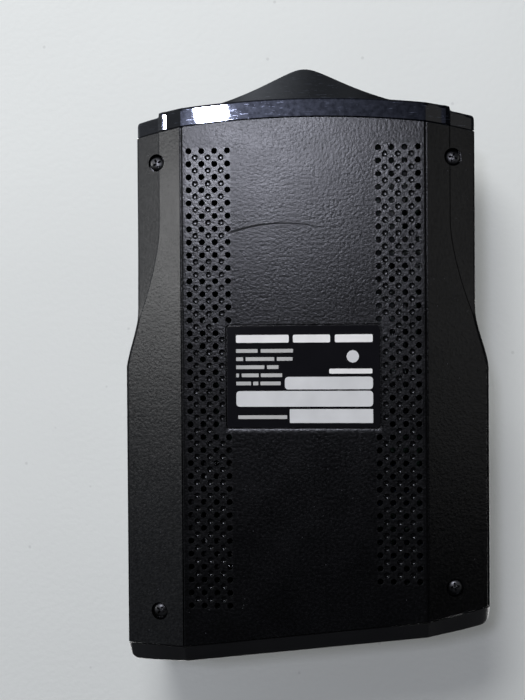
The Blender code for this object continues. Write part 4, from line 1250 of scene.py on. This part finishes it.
def build_camera():
    """Camera below the object, looking up at its underside."""
    data = bpy.data.cameras.new("camera")
    data.sensor_width = 36.0
    data.lens = CAMERA_LENS
    data.clip_start = 0.01
    data.clip_end = 10.0
    camera = add_object("camera", data)
    upright = Matrix(((-1.0, 0.0, 0.0), (0.0, 1.0, 0.0), (0.0, 0.0, -1.0)))
    tilt = Euler([radians(angle) for angle in CAMERA_TILT]).to_matrix()
    camera.matrix_world = Matrix.Translation(Vector(CAMERA_PLACE) * MM) @ (upright @ tilt).to_4x4()
    bpy.context.scene.camera = camera


# ---- assembly

def mount(obj, node, materials, body="housing"):
    """Let a piece ride on a body in place of a CAD node."""
    give(obj, *materials)
    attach(obj, body)
    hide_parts(node)


build_camera()
bpy.context.scene.view_settings.view_transform = 'Standard'
floor = add_sheet("floor", FLOOR_Z, 4000.0, True, colour(0.78, 0.79, 0.80), 0.02)
table_top = add_sheet("table_top", TABLE_Z, 900.0, False, colour(0.74, 0.76, 0.75), 0.04)
build_world()

finishes = node_finishes()
for entry in frame["record"]["subparts"]:
    give(frame["nodes"][entry["node"]], finishes[entry["material_slot"]])

case_finish = lower_case_finish("lower_case_satin", 0.205, 0.265, 0.028, 0.52)
dimple_finish = lower_case_finish("lower_case_dimples", 0.17, 0.21, 0.003, 0.8)
strip_finish = lower_case_finish("lower_case_strips", 0.205, 0.265, 0.028, 0.75)
top_finish = moulded_plastic("upper_case_matte", colour(0.014, 0.014, 0.016), 0.48, 0.3, 0.02, 0.15)
bezel_finish = moulded_plastic("bezel_charcoal", colour(0.034, 0.034, 0.035), 0.50, 0.3, 0.02)
nose_finish = gloss_finish("nose_gloss", colour(0.004, 0.005, 0.008), 0.02)
window_finish = gloss_finish("window_smoke", colour(0.005, 0.005, 0.006), 0.05, 0.08)
film = moulded_plastic("label_film", colour(0.006, 0.006, 0.008), 0.12, 0.3, 0.002)
ink_white = moulded_plastic("ink_white", colour(0.80, 0.80, 0.82), 0.5, 0.2, 0.003)
ink_grey = moulded_plastic("ink_grey", colour(0.45, 0.45, 0.46), 0.5, 0.2, 0.003)
silver = moulded_plastic("ink_silver", colour(0.62, 0.63, 0.66), 0.45, 0.2, 0.003)
steel = metal_finish("screw_worn", colour(0.20, 0.20, 0.20), 0.34, grain=0.2)
rubber = moulded_plastic("button_rubber_matte", colour(0.030, 0.030, 0.032), 0.6, 0.2, 0.01)

mount(build_lower_case(), "lower_case", [case_finish, dimple_finish, strip_finish])
mount(build_upper_case(), "upper_case", [top_finish])
nose_window = build_nose_window()
mount(nose_window, "nose_window", [nose_finish])
mount(build_display_bezel(), "display_bezel", [bezel_finish])
mount(build_display_window(), "display_window", [window_finish])
mount(build_sensor_window(), "sensor_window", [nose_finish])
label = build_label()
mount(label, "rating_label", [film, ink_white, ink_grey, silver])
for screw in build_screws():
    give(screw, steel)
for button in BUTTON_NAMES:
    mount(build_button(button), "button_" + button, [rubber], "key_" + button)
gasket = build_gasket()
mount(gasket, "speaker_gasket", [finishes["foam"]])
build_lights(floor, table_top, nose_window, label)
